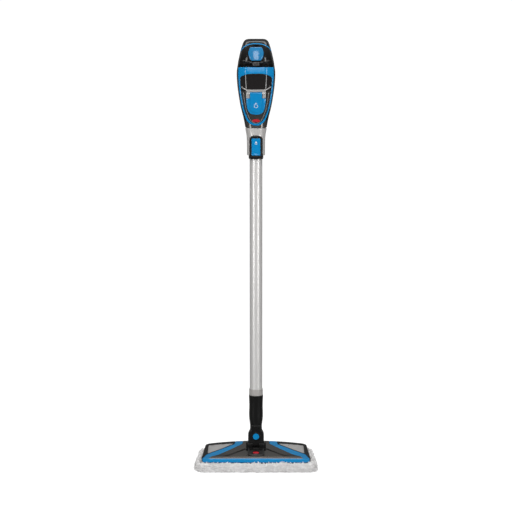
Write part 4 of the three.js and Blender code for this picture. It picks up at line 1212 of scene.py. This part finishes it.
latch = profile_bar(
    "tank_latch_body", rounded(shifted([(-9, 168.5), (9, 168.5), (9, 178.5), (-9, 178.5)]), 1), "y", -42.5,
    -34, 0.8
)
latch = merged(
    latch,
    rib_row(
        "latch_ribs", (0, -42.6, BASE + 173.5), Count=6, Pitch=0.0028, Width=0.0013, Height=0.0078,
        Depth=0.002
    )
)
put(latch, latch_black, "tank_latch", "gloss_black", "tank_release_latch")

trigger_side = through(
    [
        (85, 150.6), (68, 151), (63.6, 153), (64.6, 158), (67.8, 166), (66.6, 178), (68.6, 181.4),
        (75, 181.6), (85, 181.4)
    ],
    4
)
trigger_outline = [(y, z + BASE) for y, z in trigger_side]
trigger = profile_bar("trigger_blade", trigger_outline, "x", -8.4, 8.4, 1.8)
trigger = merged(
    trigger,
    profile_bar(
        "trigger_flange",
        [(84, BASE + 145.6), (86.4, BASE + 145.6), (86.4, BASE + 183.8), (84, BASE + 183.8)], "x", -10.4,
        10.4, 0.3
    )
)
put(trigger, blue_gloss, "trigger", "blue", "steam_trigger")

HEAD_RADIUS, HEAD_HEIGHT, SLOT_WIDTH, SLOT_LENGTH = 0.0032, 0.002, 0.0008, 0.0038
screw_tree, gi, go = geometry_tree(
    "cross_head_screws", ("Head radius", HEAD_RADIUS), ("Head height", HEAD_HEIGHT),
    ("Slot width", SLOT_WIDTH), ("Slot length", SLOT_LENGTH)
)
head = node(screw_tree, "GeometryNodeMeshCylinder", Vertices=28, Depth=HEAD_HEIGHT, Radius=HEAD_RADIUS)
slot_box = node(screw_tree, "GeometryNodeMeshCube")
slot_size = node(screw_tree, "ShaderNodeCombineXYZ", Z=0.0018)
slot_up = node(screw_tree, "GeometryNodeTransform")
slot_up.inputs["Translation"].default_value = (0, 0, 0.001)
slot_turned = node(screw_tree, "GeometryNodeTransform")
slot_turned.inputs["Rotation"].default_value = (0, 0, math.pi / 2)
cutting = node(screw_tree, "GeometryNodeMeshBoolean", operation="DIFFERENCE")
facing_out = node(screw_tree, "GeometryNodeTransform")
facing_out.inputs["Rotation"].default_value = (0, -math.pi / 2, 0)
on_points = node(screw_tree, "GeometryNodeInstanceOnPoints")
real = node(screw_tree, "GeometryNodeRealizeInstances")
paint = node(screw_tree, "GeometryNodeSetMaterial", Material=pin_steel)
linked(
    screw_tree,
    (gi.outputs["Head radius"], head.inputs["Radius"]),
    (gi.outputs["Head height"], head.inputs["Depth"]),
    (gi.outputs["Slot length"], slot_size.inputs["X"]),
    (gi.outputs["Slot width"], slot_size.inputs["Y"]),
    (slot_size.outputs[0], slot_box.inputs["Size"]),
    (slot_box.outputs["Mesh"], slot_up.inputs["Geometry"]),
    (slot_up.outputs["Geometry"], slot_turned.inputs["Geometry"]),
    (head.outputs["Mesh"], cutting.inputs["Mesh 1"]),
    (slot_up.outputs["Geometry"], cutting.inputs["Mesh 2"]),
    (slot_turned.outputs["Geometry"], cutting.inputs["Mesh 2"]),
    (cutting.outputs["Mesh"], facing_out.inputs["Geometry"]),
    (facing_out.outputs["Geometry"], on_points.inputs["Instance"]),
    (gi.outputs["Mesh"], on_points.inputs["Points"]),
    (on_points.outputs["Instances"], real.inputs["Geometry"]),
    (real.outputs["Geometry"], paint.inputs["Geometry"]),
    (paint.outputs["Geometry"], go.inputs["Mesh"]),
)
screw_places = [(-28.6, 26, BASE + 58), (-20.4, 66, BASE + 208), (-15.0, 84, BASE + 104)]
screws = grow(
    solid("housing_screw_heads", screw_places, []), screw_tree, Head_radius=HEAD_RADIUS,
    Head_height=HEAD_HEIGHT, Slot_width=SLOT_WIDTH, Slot_length=SLOT_LENGTH
)
put(screws, pin_steel, "handset", "steel", sharp=30)


# ---------------------------------------------------------------- water tank
# A clear tank with a blue frame bonded round its face. The upper window is smoked, the lower one paler; a light
# grey bracket between them carries the hinged blue filler door.
TANK = through(
    [
        (4, 26, -26, -28, 3), (20, 30, -28, -33, 9), (38, 36, -30.5, -38, 14), (60, 41, -33, -43, 18),
        (90, 45, -35, -47, 21), (120, 48, -36.5, -50, 23), (148, 49, -38, -51, 24), (167, 49, -38, -50, 24)
    ],
    5
)


def tank_front(x, z):
    """The y of the tank's face: flat in the middle, with a soft edge each side where it turns back."""
    half, frame_y, face_y, flat = (np.interp(z - BASE, TANK[:, 0], TANK[:, k]) for k in (1, 2, 3, 4))
    t = np.clip((np.abs(x) - flat) / (half - flat), 0, 1)
    turn_back = (np.sqrt(t**2 + 0.02) - math.sqrt(0.02)) / (math.sqrt(1.02) - math.sqrt(0.02))
    return face_y + (frame_y - face_y) * turn_back


tank_frame = plate(
    "tank_frame", TANK_EDGE, tank_front, lambda x, z: -22.2 + 0 * x, holes=[WINDOW_EDGE], soft=1.3, step=3.0,
    facing="front"
)
put(tank_frame, blue_gloss, "tank", "blue", "tank_blue_frame")


def cut_off(loop, height, keep_above):
    """The part of an outline above or below a height."""
    sign = 1 if keep_above else -1
    out = []
    for a, b in zip(loop, np.roll(loop, -1, 0)):
        a_in, b_in = sign * (a[1] - height) >= 0, sign * (b[1] - height) >= 0
        if a_in:
            out.append(a)
        if a_in != b_in:
            out.append(a + (b - a) * (height - a[1]) / (b[1] - a[1]))
    return np.array(out)


# The ridge's lighter grey is a painted highlight: it stands in for the light caught along the bevel of the lower
# window.
ridge_grey = plastic("ridge_grey", (0.3, 0.29, 0.28), 0.15, 600, 0.02, 0.1, 0.01, coat=0.4)
smoke_dark = plastic("smoke_dark", (0.014, 0.012, 0.012), 0.1, 600, 0.015, 0.1, 0.01, coat=0.3, clear=0.1)
smoke_pale = plastic("smoke_pale", (0.035, 0.032, 0.03), 0.12, 600, 0.03, 0.2, 0.02, coat=0.5, clear=0.15)
upper_window = plate(
    "upper_window", cut_off(inset(WINDOW_EDGE, 0.15), BASE + 103.5, True),
    lambda x, z: tank_front(x, z) + 1.0, lambda x, z: tank_front(x, z) + 3, soft=0.5, step=3.0, facing="front"
)
put(upper_window, smoke_dark, "tank", "smoked_clear", "tank_shell")
lower_face = lambda x, z: tank_front(x, z) + 0.8
lower_window = plate(
    "lower_window", cut_off(inset(WINDOW_EDGE, 0.15), BASE + 103.2, False), lower_face,
    lambda x, z: tank_front(x, z) + 3, soft=2.6, step=3.0, facing="front"
)
put(lower_window, smoke_pale, "tank", "smoked_clear")


def open_line(distance, height):
    """The window's edge moved inwards, from the left end at a height round the bottom to the right end."""
    loop = cut_off(inset(WINDOW_EDGE, distance), height, False)
    last = int(np.flatnonzero(np.abs(loop[:, 1] - height) < 1e-6)[0])
    return np.roll(loop, -(last + 1), 0)


# A thin raised ridge runs round the lower window inside the frame, coloured lighter than the window as a painted
# highlight along its bevel.
ridge_outline = np.vstack([open_line(5.0, BASE + 99), open_line(6.5, BASE + 99)[::-1]])
ridge = plate(
    "window_ridge", ridge_outline, lambda x, z: tank_front(x, z) - 0.3, lambda x, z: tank_front(x, z) + 1.4,
    soft=0.7, step=2.0, facing="front"
)
put(ridge, ridge_grey, "tank", "smoked_clear")
tank_back = profile_bar("tank_back", inset(TANK_EDGE, 1.0), "y", -23, -12, 0.8)
put(tank_back, smoke_dark, "tank", "smoked_clear")

bracket_grey = plastic("bracket_grey", (0.42, 0.41, 0.4), 0.25, 1200, 0.04, 0.2, 0.03, coat=0.4, metal=0.1)
bracket_outline = both_sides(
    shifted(
        [
            (0, 100.4), (16.4, 100.4), (16.4, 83.8), (24, 83.8), (24, 102.6), (39.2, 112.2), (39.6, 115.6),
            (24, 106.6), (0, 106.2)
        ]
    )
)
door_bracket = plate(
    "door_bracket", bracket_outline, lambda x, z: tank_front(x, z) - 1.6, lambda x, z: tank_front(x, z) + 0.9,
    soft=0.8, step=2.5, facing="front"
)
put(door_bracket, bracket_grey, "tank", "warm_grey", "fill_door_bracket")

leaf_outline = both_sides(
    shifted(
        [
            (0, 37.4), (8, 38), (15, 40.6), (20, 46), (23.4, 56), (25, 66), (26.4, 82.8), (15.9, 83.2),
            (15.9, 97)
        ]
    )
)
leaf = plate(
    "fill_door", leaf_outline, lambda x, z: tank_front(x, z) - 3.4, lambda x, z: tank_front(x, z) - 0.6,
    soft=1.2, step=2.5, facing="front"
)
raised_outline = both_sides(shifted([(0, 42.4), (7, 43), (12.5, 46.4), (15, 52), (15.9, 62), (15.9, 96.6)]))
raised_face = lambda x, z: tank_front(x, z) - 5.0
raised = plate(
    "raised", raised_outline, raised_face, lambda x, z: tank_front(x, z) - 2.0, soft=1.3, step=2.5,
    facing="front"
)
barrel = profile_bar("barrel", circle(2.6, (-50.8, BASE + 97), 24), "x", -15.8, 15.8, 0.4)
leaf = merged(leaf, raised, barrel)
put(leaf, blue_gloss, "fill_door", "blue", "tank_fill_door")

drop_outline = through([(0, 71.5), (2.2, 67.4), (4.4, 63.2), (4.7, 59.8), (3.2, 57.0), (0, 55.8)], 5)
drop = both_sides(shifted([tuple(p) for p in drop_outline[::-1]]))
drop_mark = plate(
    "water_drop_mark", drop, lambda x, z: raised_face(x, z) - 0.15, lambda x, z: raised_face(x, z) + 0.3,
    holes=[inset(drop, 1.1)], soft=0.05, step=1.5, facing="front"
)
put(drop_mark, print_white, "fill_door", "blue")
tank_badge = plate(
    "tank_blank_badge",
    [
        (10.5 * math.cos(a), BASE + 20.5 + 4.4 * math.sin(a))
        for a in np.linspace(0, 2 * math.pi, 28, endpoint=False)
    ],
    lambda x, z: tank_front(0 * x, z) - 0.1,
    lambda x, z: tank_front(x, z) + 1.6,
    soft=0.5,
    step=2,
    facing="front",
)
put(tank_badge, badge_red, "tank", "blue")


# ---------------------------------------------------------------- inner parts
# What the shells hide keeps the shape of the engineering model: the base tray, pipes, boiler, pump, board, seals
# and springs. Each has its own finish.
aluminium_cast = plastic("aluminium_cast", (0.5, 0.5, 0.51), 0.48, 500, 0.4, 0.1, 0.05, metal=0.9)
silicone_clear = plastic("silicone_clear", (0.68, 0.67, 0.63), 0.45, 700, 0.05, 0.0, 0.03)
board_green = plastic("board_green", (0.01, 0.12, 0.04), 0.35, 400, 0.15, 0.0, 0.03)
hook_grey = plastic("hook_grey", (0.3, 0.3, 0.3), 0.6, 900, 0.9, 0.0, 0.02)
inner_finishes = {
    satin_black: ["foot_base", "tank_bulkhead", "handset_spigot"],
    hook_grey: ["hook_strip"],
    pin_steel: [
        "pitch_pin", "roll_pin", "base_screw_1", "base_screw_2", "housing_screw_1", "housing_screw_2",
        "housing_screw_3", "fill_door_pin", "release_spring", "trigger_spring", "water_pump"
    ],
    aluminium_cast: ["boiler"],
    silicone_clear: ["steam_manifold", "wand_steam_pipe", "inlet_hose", "feed_hose", "steam_hose"],
    rubber_black: ["cord_gland", "tank_outlet_valve", "fill_plug"],
    board_green: ["circuit_board"],
}
for material, names in inner_finishes.items():
    for name in names:
        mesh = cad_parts[name].data
        mesh.materials.clear()
        mesh.materials.append(material)


# ---------------------------------------------------------------- fit of the handset on the wand
# The handset tapers down into the collar's mouth. From the door's hinge down, the shells, tank and door are drawn
# up a little, most at the foot, and the collar with its button rises with them so that the joint stays closed.
RISE, RISE_FROM = 5.3, 96.0
rising = (
    "handset_housing", "lower_bezel_face", "tank_frame", "upper_window", "lower_window", "tank_back", "fill_door",
    "water_drop_mark", "tank_blank_badge", "collar", "escutcheon", "collar_ring", "release_button",
    "release_arrow", "release_bar",
)
for name in rising:
    for corner in bpy.data.objects[name].data.vertices:
        below = (BASE + RISE_FROM - corner.co.z / MM) / RISE_FROM
        corner.co.z += RISE * MM * min(max(below, 0.0), 1.0)
